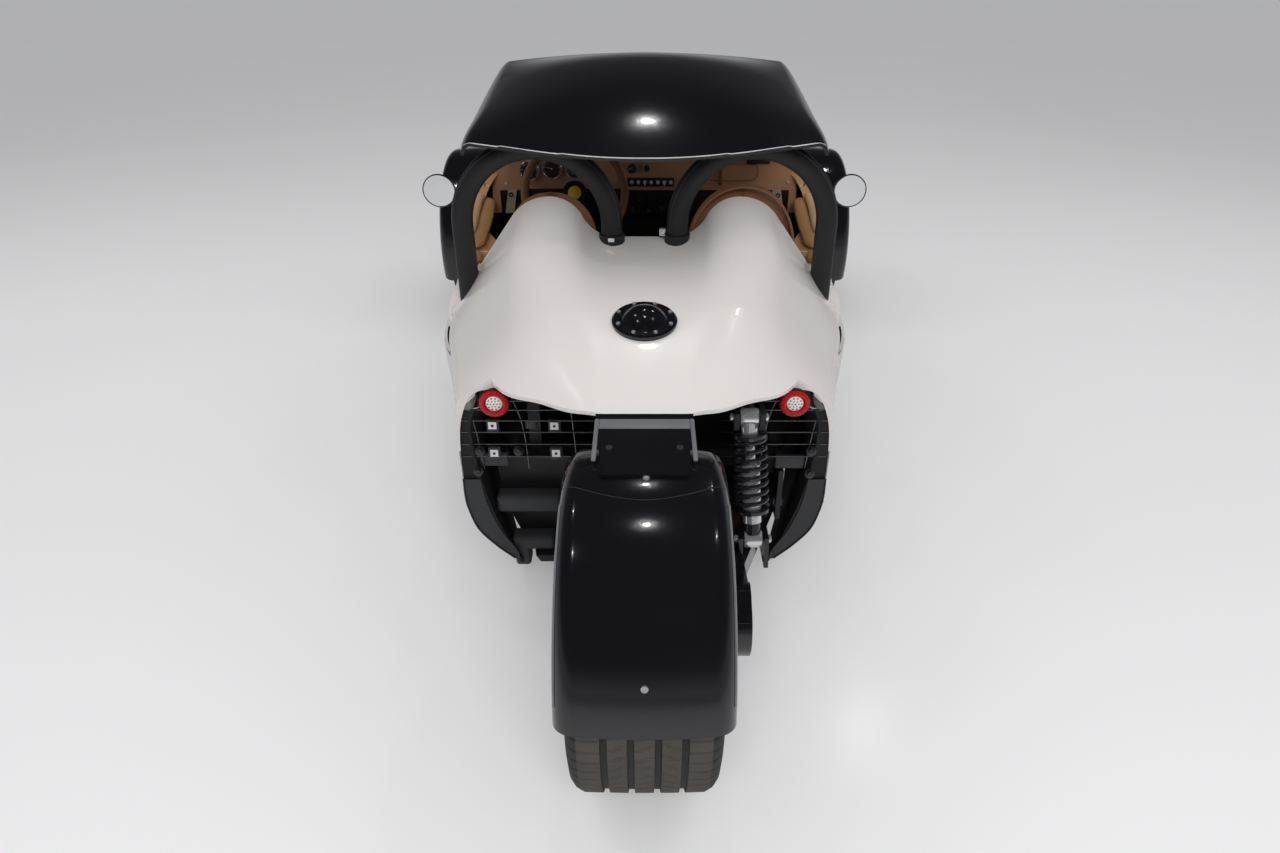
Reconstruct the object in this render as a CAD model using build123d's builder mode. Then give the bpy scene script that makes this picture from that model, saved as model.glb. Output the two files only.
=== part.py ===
"""Three wheeled open car: two steered, driven wheels ahead and one trailing wheel behind.

Millimetres, +Z up, +Y ahead, +X to the car's right. The origin is on the ground,
midway along the car's length. Most places are given as the distance ahead of the rear axle.
"""

import os
from math import atan2, cos, radians, sin, sqrt

from build123d import *

os.makedirs("parts", exist_ok=True)

# Whole car
WHEELBASE = 2540
FRONT_OVERHANG = 755
REAR_OVERHANG = 360
FRONT_TRACK = 1490
LENGTH = REAR_OVERHANG + WHEELBASE + FRONT_OVERHANG
REAR_AXLE_Y = REAR_OVERHANG - LENGTH / 2
TOUCH = 0.3
MOVING_GAP = 6

# Wheels and tyres
FRONT_TYRE_R = 318
FRONT_TYRE_W = 225
REAR_TYRE_R = 328
REAR_TYRE_W = 285
RIM_R = 228
RIM_SKIN = 12
SPINDLE_R = 30
BEARING_FIT = 0.06
SPOKES = 10

# Body skin
SKIN = 8
SIDE_WALL = 45
SEAM_Z = 585
SKIRT_TOP_Z = 388
DOOR_TOP_Z = 728
BODY_BACK = 415
SCUTTLE = 1650
FIREWALL = 1790
NOSE_FRONT = WHEELBASE + FRONT_OVERHANG
FLOOR_T = 20

# Rear deck
DECK_FRONT = 955
DECK_LIP = 200
DECK_LIP_R = 392
HUMP_X = 253
VALLEY_FLAT = 78

# Doors
DOOR_REACH = 490
DOOR_REAR = 1080
HINGE_AHEAD = 1570
HINGE_X = 578
HINGE_ROLL_R = 38
HINGE_BARREL_R = 22
HINGE_BARREL_H = 20
HINGE_PIN_R = 7
HINGE_Z = (440, 635)

# Roll hoops
HOOP_AHEAD = 925
HOOP_TUBE_R = 28.5
HOOP_X = 286.5
HOOP_R = 199
HOOP_SPRING_Z = 860
HOOP_FOOT_Z = 585
COLLAR_R = 34
COLLAR_H = 16
COLLAR_TOP_Z = 836

# Roof
ROOF_SKIN = 8
ROOF_BACK = 762
ROOF_BACK_R = 1175

# Windscreen
SCREEN_T = 6
SCREEN_TUBE_R = 13
HEADER_AHEAD = 1560
HEADER_Z = 1180

# Front suspension
KINGPIN_X = 672
STUD_R = 10
EYE_R = 22
EYE_H = 24
LOWER_ARM_Z = 205
UPPER_ARM_Z = 430
KNUCKLE_FACE_X = 702
KNUCKLE_T = 14
DISC_R = 150
DISC_T = 20

# Rear suspension
SWINGARM_X = 165
PIVOT_AHEAD = 470
PIVOT_Z = 300
PIVOT_TUBE_R = 32
SHOCK_LOW = (245, 230, 352)
SHOCK_HIGH = (229, 315, 622)

# Steering
WHEEL_HUB = (-230, 1500, 786)
COLUMN_TILT = 22
STEERING_RIM_R = 165
STEERING_GRIP_R = 14

# Seats
SEAT_INNER = 60
SEAT_OUTER = 500
SEAT_FRONT = 1540
SEAT_BACK_FOOT = 1085


def ahead(distance):
    """Y of a place that far ahead of the rear axle."""
    return REAR_AXLE_Y + distance


def place(x, distance, z):
    """A point given across, ahead of the rear axle, and up."""
    return Vector(x, ahead(distance), z)


def station(distance):
    """The upright plane across the car, that far ahead of the rear axle, with its x to the right."""
    return Plane.XZ.offset(-ahead(distance))


def side_view(x=0):
    """The plane along the car at that x, with its x axis ahead and its y axis up."""
    return Plane(origin=(x, 0, 0), x_dir=(0, 1, 0), z_dir=(1, 0, 0))


def write(builder, name):
    """Labels a finished piece and writes its file."""
    builder.part.label = name
    export_step(builder.part, f"parts/{name}.step")


def slab(x0, x1, back, front, z0, z1):
    """A box between limits, the second pair given ahead of the rear axle."""
    with BuildPart() as block:
        with Locations(((x0 + x1) / 2, ahead((back + front) / 2), (z0 + z1) / 2)):
            Box(x1 - x0, front - back, z1 - z0)
    return block.part


def rod(start, end, radius):
    """A round bar from one point to another."""
    along = Vector(*end) - Vector(*start)
    with BuildPart() as bar:
        with BuildSketch(Plane(origin=start, z_dir=along)):
            Circle(radius)
        extrude(amount=along.length)
    return bar.part


def mirrored(builder, name):
    """Writes the left hand twin of a right hand piece."""
    with BuildPart() as twin:
        mirror(builder.part, about=Plane.YZ)
    write(twin, name)
    return twin


def crown_radius(width, rise, shoulder):
    """Radius of the top arc that a shoulder arc meets without a corner."""
    return ((width - shoulder) ** 2 + rise**2 - shoulder**2) / (2 * (rise - shoulder))


# Sections of the lower body
HULL = [
    # ahead, bottom half width, bottom z, waist half width, waist z, shoulder radius, crown z
    (395, 318, 130, 439, 560, 90, 745),
    (700, 400, 130, 505, 565, 120, 800),
    (1000, 460, 130, 562, 575, 170, 820),
    (1400, 490, 130, 600, 620, 240, 872),
    (1790, 440, 130, 590, 690, 190, 903),
    (2140, 340, 130, 425, 550, 215, 865),
    (2540, 315, 140, 395, 470, 200, 800),
    (2950, 290, 165, 375, 430, 170, 705),
    (3180, 255, 205, 335, 410, 140, 620),
    (NOSE_FRONT, 235, 265, 275, 405, 110, 545),
]


def hull_section(row, inset, drop):
    """One closed section of the body, set in by a wall, its floor lowered to leave it open."""
    distance, bottom_w, bottom_z, waist_w, waist_z, shoulder, crown_z = row
    flank = ((waist_w - bottom_w) ** 2 + (waist_z - bottom_z) ** 2) / (2 * (waist_w - bottom_w))
    low_z = bottom_z - drop
    low_x = waist_w - flank + sqrt((flank - inset) ** 2 - (waist_z - low_z) ** 2)
    crown = crown_radius(waist_w, crown_z - waist_z, shoulder)
    lean = atan2(waist_z - crown_z + crown, waist_w - shoulder)
    join_x = (crown - inset) * cos(lean)
    join_z = crown_z - crown + (crown - inset) * sin(lean)
    waist = waist_w - inset
    with BuildSketch(station(distance)) as sketch:
        with BuildLine():
            Line((-low_x, low_z), (low_x, low_z))
            TangentArc((waist, waist_z), (low_x, low_z), tangent=(0, -1))
            TangentArc((waist, waist_z), (join_x, join_z), tangent=(0, 1))
            ThreePointArc((join_x, join_z), (0, crown_z - inset), (-join_x, join_z))
            TangentArc((-waist, waist_z), (-join_x, join_z), tangent=(0, 1))
            TangentArc((-waist, waist_z), (-low_x, low_z), tangent=(0, -1))
        make_face()
    return sketch.sketch


def hull_form(inset=0, drop=0):
    """The whole body as a closed form, set in by a wall thickness."""
    sections = [hull_section(row, inset, drop) for row in HULL]
    with BuildPart() as form:
        for section in sections:
            add(section)
        loft()
    return form.part


OPEN_BELOW = 25
OUTSIDE = hull_form()
INSIDE_SKIN = hull_form(SKIN, OPEN_BELOW)
INSIDE_WALL = hull_form(SIDE_WALL, OPEN_BELOW)

# Sections of the rear deck
DECK = [
    # ahead, valley z, crest x, crest z, crest radius, waist half width, shoulder radius
    (190, 684, 90, 684.5, 150, 300, 30),
    (290, 713, 100, 713.5, 190, 365, 35),
    (400, 743, 125, 744, 290, 430, 40),
    (540, 772, 170, 777, 250, 467, 50),
    (680, 790, 212, 812, 185, 501, 55),
    (820, 804, 242, 868, 145, 532, 60),
    (965, 818, HUMP_X, 929, 130, 554, 60),
]


def deck_section(row, inset):
    """A closed section: flat valley, two equal arcs up to the hump, crest arc, flank and waist."""
    distance, valley_z, crest_x, crest_z, crest_r, waist_w, shoulder = row
    valley = Vector(VALLEY_FLAT, valley_z - inset)
    crest = Vector(crest_x, crest_z - inset)
    crest_r = crest_r - inset
    shoulder = shoulder - inset
    waist = Vector(waist_w - inset, SEAM_Z)
    top_centre = Vector(crest_x, crest.Y - crest_r)
    low_centre = Vector(waist.X - shoulder, SEAM_Z)
    between = low_centre - top_centre
    along = between.normalized()
    outward = Vector(-along.Y, along.X)
    swing = (crest_r - shoulder) / between.length
    normal = along * swing + outward * sqrt(1 - swing**2)
    flank_top = top_centre + normal * crest_r
    flank_low = low_centre + normal * shoulder
    middle = (valley + crest) * 0.5
    with BuildSketch(station(distance)) as sketch:
        with BuildLine() as right_half:
            Line((0, valley.Y), valley)
            TangentArc(valley, middle, tangent=(1, 0))
            TangentArc(crest, middle, tangent=(-1, 0))
            TangentArc(crest, flank_top, tangent=(1, 0))
            Line(flank_top, flank_low)
            TangentArc(waist, flank_low, tangent=(0, 1))
            Line(waist, (0, SEAM_Z))
            mirror(about=Plane.YZ)
        make_face()
    return sketch.sketch


def deck_form(inset=0):
    """The rear deck as a closed form, set in by a wall thickness."""
    sections = [deck_section(row, inset) for row in DECK]
    with BuildPart() as form:
        for section in sections:
            add(section)
        loft()
    return form.part


OUTSIDE_DECK = deck_form()

# Body panels
BODY_REACH = 700
TAIL_FRONT = 880
BODY_TOP = 1000
COCKPIT_RISE = 1350
SCUTTLE_EDGE_Z = 850


def cockpit_cut():
    """Everything over the cockpit's edge, from the deck to the scuttle."""
    rise_start = (ahead(COCKPIT_RISE), DOOR_TOP_Z)
    rise_end = (ahead(SCUTTLE), SCUTTLE_EDGE_Z)
    with BuildPart() as cut:
        with BuildSketch(side_view()):
            with BuildLine():
                Line((ahead(DECK_FRONT), DOOR_TOP_Z), rise_start)
                TangentArc(rise_start, rise_end, tangent=(1, 0))
                Line(rise_end, (ahead(SCUTTLE), BODY_TOP))
                Line((ahead(SCUTTLE), BODY_TOP), (ahead(DECK_FRONT), BODY_TOP))
                Line((ahead(DECK_FRONT), BODY_TOP), (ahead(DECK_FRONT), DOOR_TOP_Z))
            make_face()
        extrude(amount=BODY_REACH, both=True)
    return cut.part


def about_hinge(radius):
    """A tall upright cylinder about the right door's hinge axis."""
    with BuildPart() as drum:
        with Locations((HINGE_X, ahead(HINGE_AHEAD), BODY_TOP / 2)):
            Cylinder(radius, BODY_TOP)
    return drum.part


def doorway(gap):
    """The right door's room in the wall: its front and rear ends are round about its hinge."""
    low_z = SKIRT_TOP_Z + MOVING_GAP - gap
    with BuildPart() as room:
        add(slab(0, BODY_REACH, DECK_FRONT, HINGE_AHEAD + gap, low_z, BODY_TOP))
        add(about_hinge(DOOR_REACH + gap), mode=Mode.INTERSECT)
        add(about_hinge(HINGE_ROLL_R + gap) & slab(0, BODY_REACH, DECK_FRONT, SCUTTLE, low_z, BODY_TOP))
    return room.part


COCKPIT_CUT = cockpit_cut()
OVER_SEAM = slab(-BODY_REACH, BODY_REACH, 0, DECK_FRONT, SEAM_Z, BODY_TOP)
RIGHT_SIDE = slab(0, BODY_REACH, BODY_BACK, SCUTTLE, SKIRT_TOP_Z, BODY_TOP)
RIGHT_LOW = slab(0, BODY_REACH, BODY_BACK, SCUTTLE, 0, SKIRT_TOP_Z)
NOSE_ROOM = slab(-BODY_REACH, BODY_REACH, SCUTTLE, NOSE_FRONT, 0, BODY_TOP)
OPENING = doorway(MOVING_GAP)
DOOR_ROOM = doorway(0)
INSIDE_TAIL = INSIDE_SKIN & slab(-BODY_REACH, BODY_REACH, 0, TAIL_FRONT, 0, BODY_TOP)

with BuildPart() as side_panels:
    add(OUTSIDE)
    add(RIGHT_SIDE, mode=Mode.INTERSECT)
    add(INSIDE_WALL, mode=Mode.SUBTRACT)
    add(INSIDE_TAIL, mode=Mode.SUBTRACT)
    add(COCKPIT_CUT, mode=Mode.SUBTRACT)
    add(OVER_SEAM, mode=Mode.SUBTRACT)
    add(OPENING, mode=Mode.SUBTRACT)
    mirror(about=Plane.YZ)
write(side_panels, "side_panels")

with BuildPart() as sills:
    add(OUTSIDE)
    add(RIGHT_LOW, mode=Mode.INTERSECT)
    add(INSIDE_WALL, mode=Mode.SUBTRACT)
    add(INSIDE_TAIL, mode=Mode.SUBTRACT)
    mirror(about=Plane.YZ)
write(sills, "sills")

# Doors
HINGE_SLOT = 2
HINGE_SLOT_R = HINGE_ROLL_R + 4
HINGE_PIN_LENGTH = 70
HINGE_BORE_R = HINGE_PIN_R + BEARING_FIT

with BuildPart() as door:
    add(OUTSIDE)
    add(DOOR_ROOM, mode=Mode.INTERSECT)
    add(INSIDE_WALL, mode=Mode.SUBTRACT)
    add(COCKPIT_CUT, mode=Mode.SUBTRACT)
    for level in HINGE_Z:
        with BuildSketch(Plane.XY.offset(level - HINGE_BARREL_H / 2 - HINGE_SLOT)):
            with Locations((HINGE_X, ahead(HINGE_AHEAD))):
                Circle(HINGE_SLOT_R)
        extrude(amount=HINGE_BARREL_H + 2 * HINGE_SLOT, mode=Mode.SUBTRACT)
        with BuildSketch(Plane.XY.offset(level - HINGE_PIN_LENGTH / 2 - HINGE_SLOT)):
            with Locations((HINGE_X, ahead(HINGE_AHEAD))):
                Circle(HINGE_BORE_R)
        extrude(amount=HINGE_PIN_LENGTH + 2 * HINGE_SLOT, mode=Mode.SUBTRACT)
write(door, "door_right")
mirrored(door, "door_left")

with BuildPart() as door_hinges:
    for level in HINGE_Z:
        with BuildSketch(Plane.XY.offset(level - HINGE_BARREL_H / 2)):
            with Locations((HINGE_X, ahead(HINGE_AHEAD))):
                Circle(HINGE_BARREL_R)
            with Locations((HINGE_X, ahead(HINGE_AHEAD) + HINGE_ROLL_R)):
                Rectangle(HINGE_BARREL_R, 2 * HINGE_ROLL_R)
        extrude(amount=HINGE_BARREL_H)
        with BuildSketch(Plane.XY.offset(level - HINGE_PIN_LENGTH / 2)):
            with Locations((HINGE_X, ahead(HINGE_AHEAD))):
                Circle(HINGE_PIN_R)
        extrude(amount=HINGE_PIN_LENGTH)
    add(side_panels.part, mode=Mode.SUBTRACT)
    mirror(about=Plane.YZ)
write(door_hinges, "door_hinges")

# Pads along the cockpit's edge and armrests on the doors
PAD_INNER = 462
PAD_OUTER = 522
PAD_H = 14
ARMREST_Z = (600, 640)
ARMREST_SPAN = (1150, 1450)
ARMREST_INNER = 470
INSIDE_TRIM = hull_form(SIDE_WALL + TOUCH, OPEN_BELOW)

with BuildPart() as armrest:
    add(slab(ARMREST_INNER, BODY_REACH, *ARMREST_SPAN, *ARMREST_Z))
    add(INSIDE_TRIM, mode=Mode.INTERSECT)

with BuildPart() as door_trim:
    add(slab(PAD_INNER, PAD_OUTER, DOOR_REAR, COCKPIT_RISE, DOOR_TOP_Z + TOUCH, DOOR_TOP_Z + PAD_H))
    fillet(door_trim.edges().filter_by(Axis.Y).group_by(Axis.Z)[-1], PAD_H / 2 - 1)
    add(about_hinge(DOOR_REACH), mode=Mode.INTERSECT)
    add(armrest.part)
write(door_trim, "door_trim_right")
mirrored(door_trim, "door_trim_left")

# Nose
NOSE_WALL = 30
GRILLE_RIM = 28
GRILLE_BAR = 4
GRILLE_PITCH = 24
GRILLE_T = 6
ARCH_SPAN = 430
ARCH_TOP_Z = 520
ARCH_CORNER = 90
BONNET_BACK = 1860
BONNET_FRONT = 3000
BONNET_HALF_W = 280
BONNET_EDGE_Z = 600
PANEL_GAP = 4

GRILLE_HOLE = hull_section(HULL[-1], GRILLE_RIM, -GRILLE_RIM)
GRILLE_FACE = hull_section(HULL[-1], GRILLE_RIM + TOUCH, -GRILLE_RIM - TOUCH)
GRILLE_OPEN = hull_section(HULL[-1], GRILLE_RIM + 10, -GRILLE_RIM - 10)

with BuildPart() as nose_skin:
    add(OUTSIDE)
    add(NOSE_ROOM, mode=Mode.INTERSECT)
    add(INSIDE_SKIN & slab(-BODY_REACH, BODY_REACH, 0, NOSE_FRONT - NOSE_WALL, 0, BODY_TOP), mode=Mode.SUBTRACT)

with BuildPart() as nose_shell:
    add(nose_skin.part)
    add(GRILLE_HOLE)
    extrude(amount=2 * NOSE_WALL, dir=(0, -1, 0), mode=Mode.SUBTRACT)
    with BuildSketch(side_view()):
        with Locations((ahead(WHEELBASE), ARCH_TOP_Z - ARCH_SPAN)):
            RectangleRounded(ARCH_SPAN, 2 * ARCH_SPAN, ARCH_CORNER)
    extrude(amount=BODY_REACH, both=True, mode=Mode.SUBTRACT)
    add(
        slab(
            -BONNET_HALF_W - PANEL_GAP,
            BONNET_HALF_W + PANEL_GAP,
            BONNET_BACK - PANEL_GAP,
            BONNET_FRONT + PANEL_GAP,
            BONNET_EDGE_Z,
            BODY_TOP,
        ),
        mode=Mode.SUBTRACT,
    )
write(nose_shell, "nose_shell")

with BuildPart() as bonnet:
    add(nose_skin.part)
    add(
        slab(-BONNET_HALF_W, BONNET_HALF_W, BONNET_BACK, BONNET_FRONT, BONNET_EDGE_Z, BODY_TOP),
        mode=Mode.INTERSECT,
    )
write(bonnet, "bonnet")

# Grille, lamps and bonnet
GRILLE_SET_BACK = 18
HEADLAMP_X = 318
HEADLAMP_Z = 455
HEADLAMP_FACE = 3262
HEADLAMP_R = 82
HEADLAMP_DEPTH = 150
LENS_R = 72

with BuildPart() as front_grille:
    add(GRILLE_FACE)
    extrude(amount=GRILLE_SET_BACK + GRILLE_T, dir=(0, -1, 0))
    add(GRILLE_FACE)
    extrude(amount=GRILLE_SET_BACK, dir=(0, -1, 0), mode=Mode.SUBTRACT)
    add(GRILLE_OPEN)
    extrude(amount=2 * NOSE_WALL, dir=(0, -1, 0), mode=Mode.SUBTRACT)

with BuildPart() as grille_bars:
    with BuildSketch(station(NOSE_FRONT - GRILLE_SET_BACK)):
        with Locations((0, 405)):
            with GridLocations(GRILLE_PITCH, 0, 20, 1):
                Rectangle(GRILLE_BAR, 300)
            with GridLocations(0, GRILLE_PITCH, 1, 10):
                Rectangle(500, GRILLE_BAR)
    extrude(amount=GRILLE_T)
    add(GRILLE_OPEN)
    extrude(amount=2 * NOSE_WALL, dir=(0, -1, 0), mode=Mode.INTERSECT)

with BuildPart() as grille:
    add(front_grille.part)
    add(grille_bars.part)
write(grille, "front_grille")

with BuildPart() as headlamp:
    with BuildSketch(Plane(origin=place(HEADLAMP_X, HEADLAMP_FACE, HEADLAMP_Z), x_dir=(1, 0, 0), z_dir=(0, 0, 1))):
        with BuildLine():
            Line((0, -14), (LENS_R, -14))
            Line((LENS_R, -14), (LENS_R, 0))
            Line((LENS_R, 0), (HEADLAMP_R, 0))
            Line((HEADLAMP_R, 0), (HEADLAMP_R, -20))
            TangentArc((HEADLAMP_R, -20), (0, -HEADLAMP_DEPTH), tangent=(0, -1))
            Line((0, -HEADLAMP_DEPTH), (0, -14))
        make_face()
    revolve(axis=Axis(place(HEADLAMP_X, HEADLAMP_FACE, HEADLAMP_Z), (0, 1, 0)))
    add(OUTSIDE, mode=Mode.SUBTRACT)
    mirror(about=Plane.YZ)
write(headlamp, "headlamps")

with BuildPart() as headlamp_lens:
    with BuildSketch(Plane(origin=place(HEADLAMP_X, HEADLAMP_FACE, HEADLAMP_Z), x_dir=(1, 0, 0), z_dir=(0, 0, 1))):
        with BuildLine():
            Line((0, -14), (LENS_R - TOUCH, -14))
            Line((LENS_R - TOUCH, -14), (LENS_R - TOUCH, -4))
            ThreePointArc((LENS_R - TOUCH, -4), (LENS_R / 2, 5), (0, 8))
            Line((0, 8), (0, -14))
        make_face()
    revolve(axis=Axis(place(HEADLAMP_X, HEADLAMP_FACE, HEADLAMP_Z), (0, 1, 0)))
    add(OUTSIDE, mode=Mode.SUBTRACT)
    mirror(about=Plane.YZ)
write(headlamp_lens, "headlamp_lenses")

# Rear deck and filler
FILLER_AHEAD = 503
FILLER_TILT = 9
FILLER_FLANGE_R = 75.5
FILLER_FLANGE_T = 9
FILLER_DOME_R = 52
FILLER_DOME_H = 26
FILLER_NECK_R = 48
FILLER_SEAT_Z = 766
FILLER_NECK_H = 90

with BuildPart() as lip_keep:
    side_x = sqrt(DECK_LIP_R**2 - (DECK_LIP_R + DECK_LIP - BODY_BACK) ** 2)
    with BuildSketch(Plane.XY.offset(SEAM_Z - 1)):
        with BuildLine():
            ThreePointArc((-side_x, ahead(BODY_BACK)), (0, ahead(DECK_LIP)), (side_x, ahead(BODY_BACK)))
            Line((side_x, ahead(BODY_BACK)), (BODY_REACH, ahead(BODY_BACK)))
            Line((BODY_REACH, ahead(BODY_BACK)), (BODY_REACH, ahead(DECK_FRONT)))
            Line((BODY_REACH, ahead(DECK_FRONT)), (-BODY_REACH, ahead(DECK_FRONT)))
            Line((-BODY_REACH, ahead(DECK_FRONT)), (-BODY_REACH, ahead(BODY_BACK)))
            Line((-BODY_REACH, ahead(BODY_BACK)), (-side_x, ahead(BODY_BACK)))
        make_face()
    extrude(amount=BODY_TOP - SEAM_Z)

filler_seat = Plane(
    origin=place(0, FILLER_AHEAD, FILLER_SEAT_Z),
    x_dir=(1, 0, 0),
    z_dir=(0, -sin(radians(FILLER_TILT)), cos(radians(FILLER_TILT))),
)
HOOP_LEGS = [side * HOOP_X + leg * HOOP_R for side in (1, -1) for leg in (1, -1)]

with BuildPart() as rear_deck:
    add(OUTSIDE_DECK)
    add(deck_form(SKIN), mode=Mode.SUBTRACT)
    add(lip_keep.part, mode=Mode.INTERSECT)
    with BuildSketch(Plane.XY.offset(SEAM_Z)):
        with Locations([(x, ahead(HOOP_AHEAD)) for x in HOOP_LEGS]):
            Circle(HOOP_TUBE_R + TOUCH)
    extrude(amount=BODY_TOP - SEAM_Z, mode=Mode.SUBTRACT)
    with BuildSketch(filler_seat.offset(-FILLER_NECK_H)):
        Circle(FILLER_NECK_R + TOUCH)
    extrude(amount=2 * FILLER_NECK_H, mode=Mode.SUBTRACT)
write(rear_deck, "rear_deck")

FILLER_SINK = 12
FILLER_BEVEL = 4
filler_side = Plane(origin=filler_seat.origin, x_dir=(1, 0, 0), z_dir=-filler_seat.y_dir)
filler_axis = Axis(filler_seat.origin, filler_seat.z_dir)

with BuildPart() as filler_flange:
    with BuildSketch(filler_side):
        with BuildLine():
            Polyline(
                (FILLER_NECK_R - 8, -FILLER_SINK),
                (FILLER_FLANGE_R, -FILLER_SINK),
                (FILLER_FLANGE_R, FILLER_FLANGE_T - FILLER_BEVEL),
                (FILLER_FLANGE_R - FILLER_BEVEL, FILLER_FLANGE_T),
                (FILLER_NECK_R - 8, FILLER_FLANGE_T),
                close=True,
            )
        make_face()
    revolve(axis=filler_axis)
    add(OUTSIDE_DECK, mode=Mode.SUBTRACT)

with BuildPart() as fuel_cap:
    add(filler_flange.part)
    with BuildSketch(filler_side):
        with BuildLine():
            Line((0, -FILLER_NECK_H), (FILLER_NECK_R, -FILLER_NECK_H))
            Line((FILLER_NECK_R, -FILLER_NECK_H), (FILLER_NECK_R, FILLER_FLANGE_T - 2))
            Line((FILLER_NECK_R, FILLER_FLANGE_T - 2), (FILLER_DOME_R, FILLER_FLANGE_T - 2))
            Line((FILLER_DOME_R, FILLER_FLANGE_T - 2), (FILLER_DOME_R, FILLER_FLANGE_T))
            TangentArc((0, FILLER_FLANGE_T + FILLER_DOME_H), (FILLER_DOME_R, FILLER_FLANGE_T), tangent=(1, 0))
            Line((0, FILLER_FLANGE_T + FILLER_DOME_H), (0, -FILLER_NECK_H))
        make_face()
    revolve(axis=filler_axis)
write(fuel_cap, "fuel_cap")

# Roll hoops
hoop_plane = station(HOOP_AHEAD)
with BuildPart() as roll_hoop:
    with BuildLine(hoop_plane) as hoop_path:
        Line((HOOP_X - HOOP_R, HOOP_FOOT_Z), (HOOP_X - HOOP_R, HOOP_SPRING_Z))
        ThreePointArc(
            (HOOP_X - HOOP_R, HOOP_SPRING_Z),
            (HOOP_X, HOOP_SPRING_Z + HOOP_R),
            (HOOP_X + HOOP_R, HOOP_SPRING_Z),
        )
        Line((HOOP_X + HOOP_R, HOOP_SPRING_Z), (HOOP_X + HOOP_R, HOOP_FOOT_Z))
    with BuildSketch(Plane(origin=place(HOOP_X - HOOP_R, HOOP_AHEAD, HOOP_FOOT_Z), z_dir=(0, 0, 1))):
        Circle(HOOP_TUBE_R)
    sweep(path=hoop_path.line)

with BuildPart() as hoop_collar:
    with BuildSketch(Plane.XY.offset(COLLAR_TOP_Z - 3 * COLLAR_H)):
        with Locations((HOOP_X - HOOP_R, ahead(HOOP_AHEAD))):
            Circle(COLLAR_R)
    extrude(amount=3 * COLLAR_H)
    add(OUTSIDE_DECK, mode=Mode.SUBTRACT)

with BuildPart() as roll_hoops:
    add(roll_hoop.part)
    add(hoop_collar.part)
    mirror(about=Plane.YZ)
write(roll_hoops, "roll_hoops")

# Roof cap
ROOF = [
    # ahead, half width, edge z, shoulder radius, crown z
    (740, 380, 1040, 14, 1062),
    (800, 438, 1054, 22, 1090),
    (900, 462, 1058, 45, 1134),
    (1080, 468, 1062, 70, 1188),
    (1300, 470, 1082, 75, 1221),
    (1480, 462, 1118, 55, 1216),
    (1590, 452, 1142, 35, 1202),
]


def roof_section(row, inset):
    """A closed section of the roof's dome, its edge lowered when set in."""
    distance, half_w, edge_z, shoulder, crown_z = row
    low_z = edge_z - inset
    crown = crown_radius(half_w, crown_z - edge_z, shoulder)
    lean = atan2(edge_z - crown_z + crown, half_w - shoulder)
    width = half_w - inset
    join_x = (crown - inset) * cos(lean)
    join_z = crown_z - crown + (crown - inset) * sin(lean)
    with BuildSketch(station(distance)) as sketch:
        with BuildLine():
            Line((-width, low_z), (width, low_z))
            Line((width, low_z), (width, edge_z + 1))
            TangentArc((width, edge_z + 1), (join_x, join_z), tangent=(0, 1))
            ThreePointArc((join_x, join_z), (0, crown_z - inset), (-join_x, join_z))
            TangentArc((-width, edge_z + 1), (-join_x, join_z), tangent=(0, 1))
            Line((-width, edge_z + 1), (-width, low_z))
        make_face()
    return sketch.sketch


def roof_form(inset=0):
    """The roof's dome as a closed form, set in by its thickness."""
    sections = [roof_section(row, inset) for row in ROOF]
    with BuildPart() as form:
        for section in sections:
            add(section)
        loft()
    return form.part


ROOF_SWEEP_X = 480
HOOP_PEG_R = 14
OUTSIDE_ROOF = roof_form()

with BuildPart() as roof_trim:
    with BuildSketch(Plane.XY.offset(BODY_TOP)):
        back_edge = ROOF_BACK + ROOF_BACK_R - sqrt(ROOF_BACK_R**2 - ROOF_SWEEP_X**2)
        with BuildLine():
            ThreePointArc((-ROOF_SWEEP_X, ahead(back_edge)), (0, ahead(ROOF_BACK)), (ROOF_SWEEP_X, ahead(back_edge)))
            Line((ROOF_SWEEP_X, ahead(back_edge)), (ROOF_SWEEP_X, ahead(ROOF[-1][0])))
            Line((ROOF_SWEEP_X, ahead(ROOF[-1][0])), (-ROOF_SWEEP_X, ahead(ROOF[-1][0])))
            Line((-ROOF_SWEEP_X, ahead(ROOF[-1][0])), (-ROOF_SWEEP_X, ahead(back_edge)))
        make_face()
    extrude(amount=BODY_TOP)

with BuildPart() as roof_pegs:
    with BuildSketch(Plane.XY.offset(HOOP_SPRING_Z + HOOP_R)):
        with Locations((-HOOP_X, ahead(HOOP_AHEAD)), (HOOP_X, ahead(HOOP_AHEAD))):
            Circle(HOOP_PEG_R)
    extrude(amount=BODY_REACH)
    add(OUTSIDE_ROOF, mode=Mode.INTERSECT)
    add(roll_hoops.part, mode=Mode.SUBTRACT)

with BuildPart() as roof_cap:
    add(OUTSIDE_ROOF)
    add(roof_form(ROOF_SKIN), mode=Mode.SUBTRACT)
    add(roof_trim.part, mode=Mode.INTERSECT)
    add(roof_pegs.part)
write(roof_cap, "roof_cap")

# Windscreen
HEADER_HALF_W = 430
HEADER_END_AHEAD = 1400
HEADER_END_Z = 1122
BASE_AHEAD = 1835
BASE_HALF_W = 512
BASE_END_AHEAD = 1625
BASE_Z = 870
BASE_END_Z = 800


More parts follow.
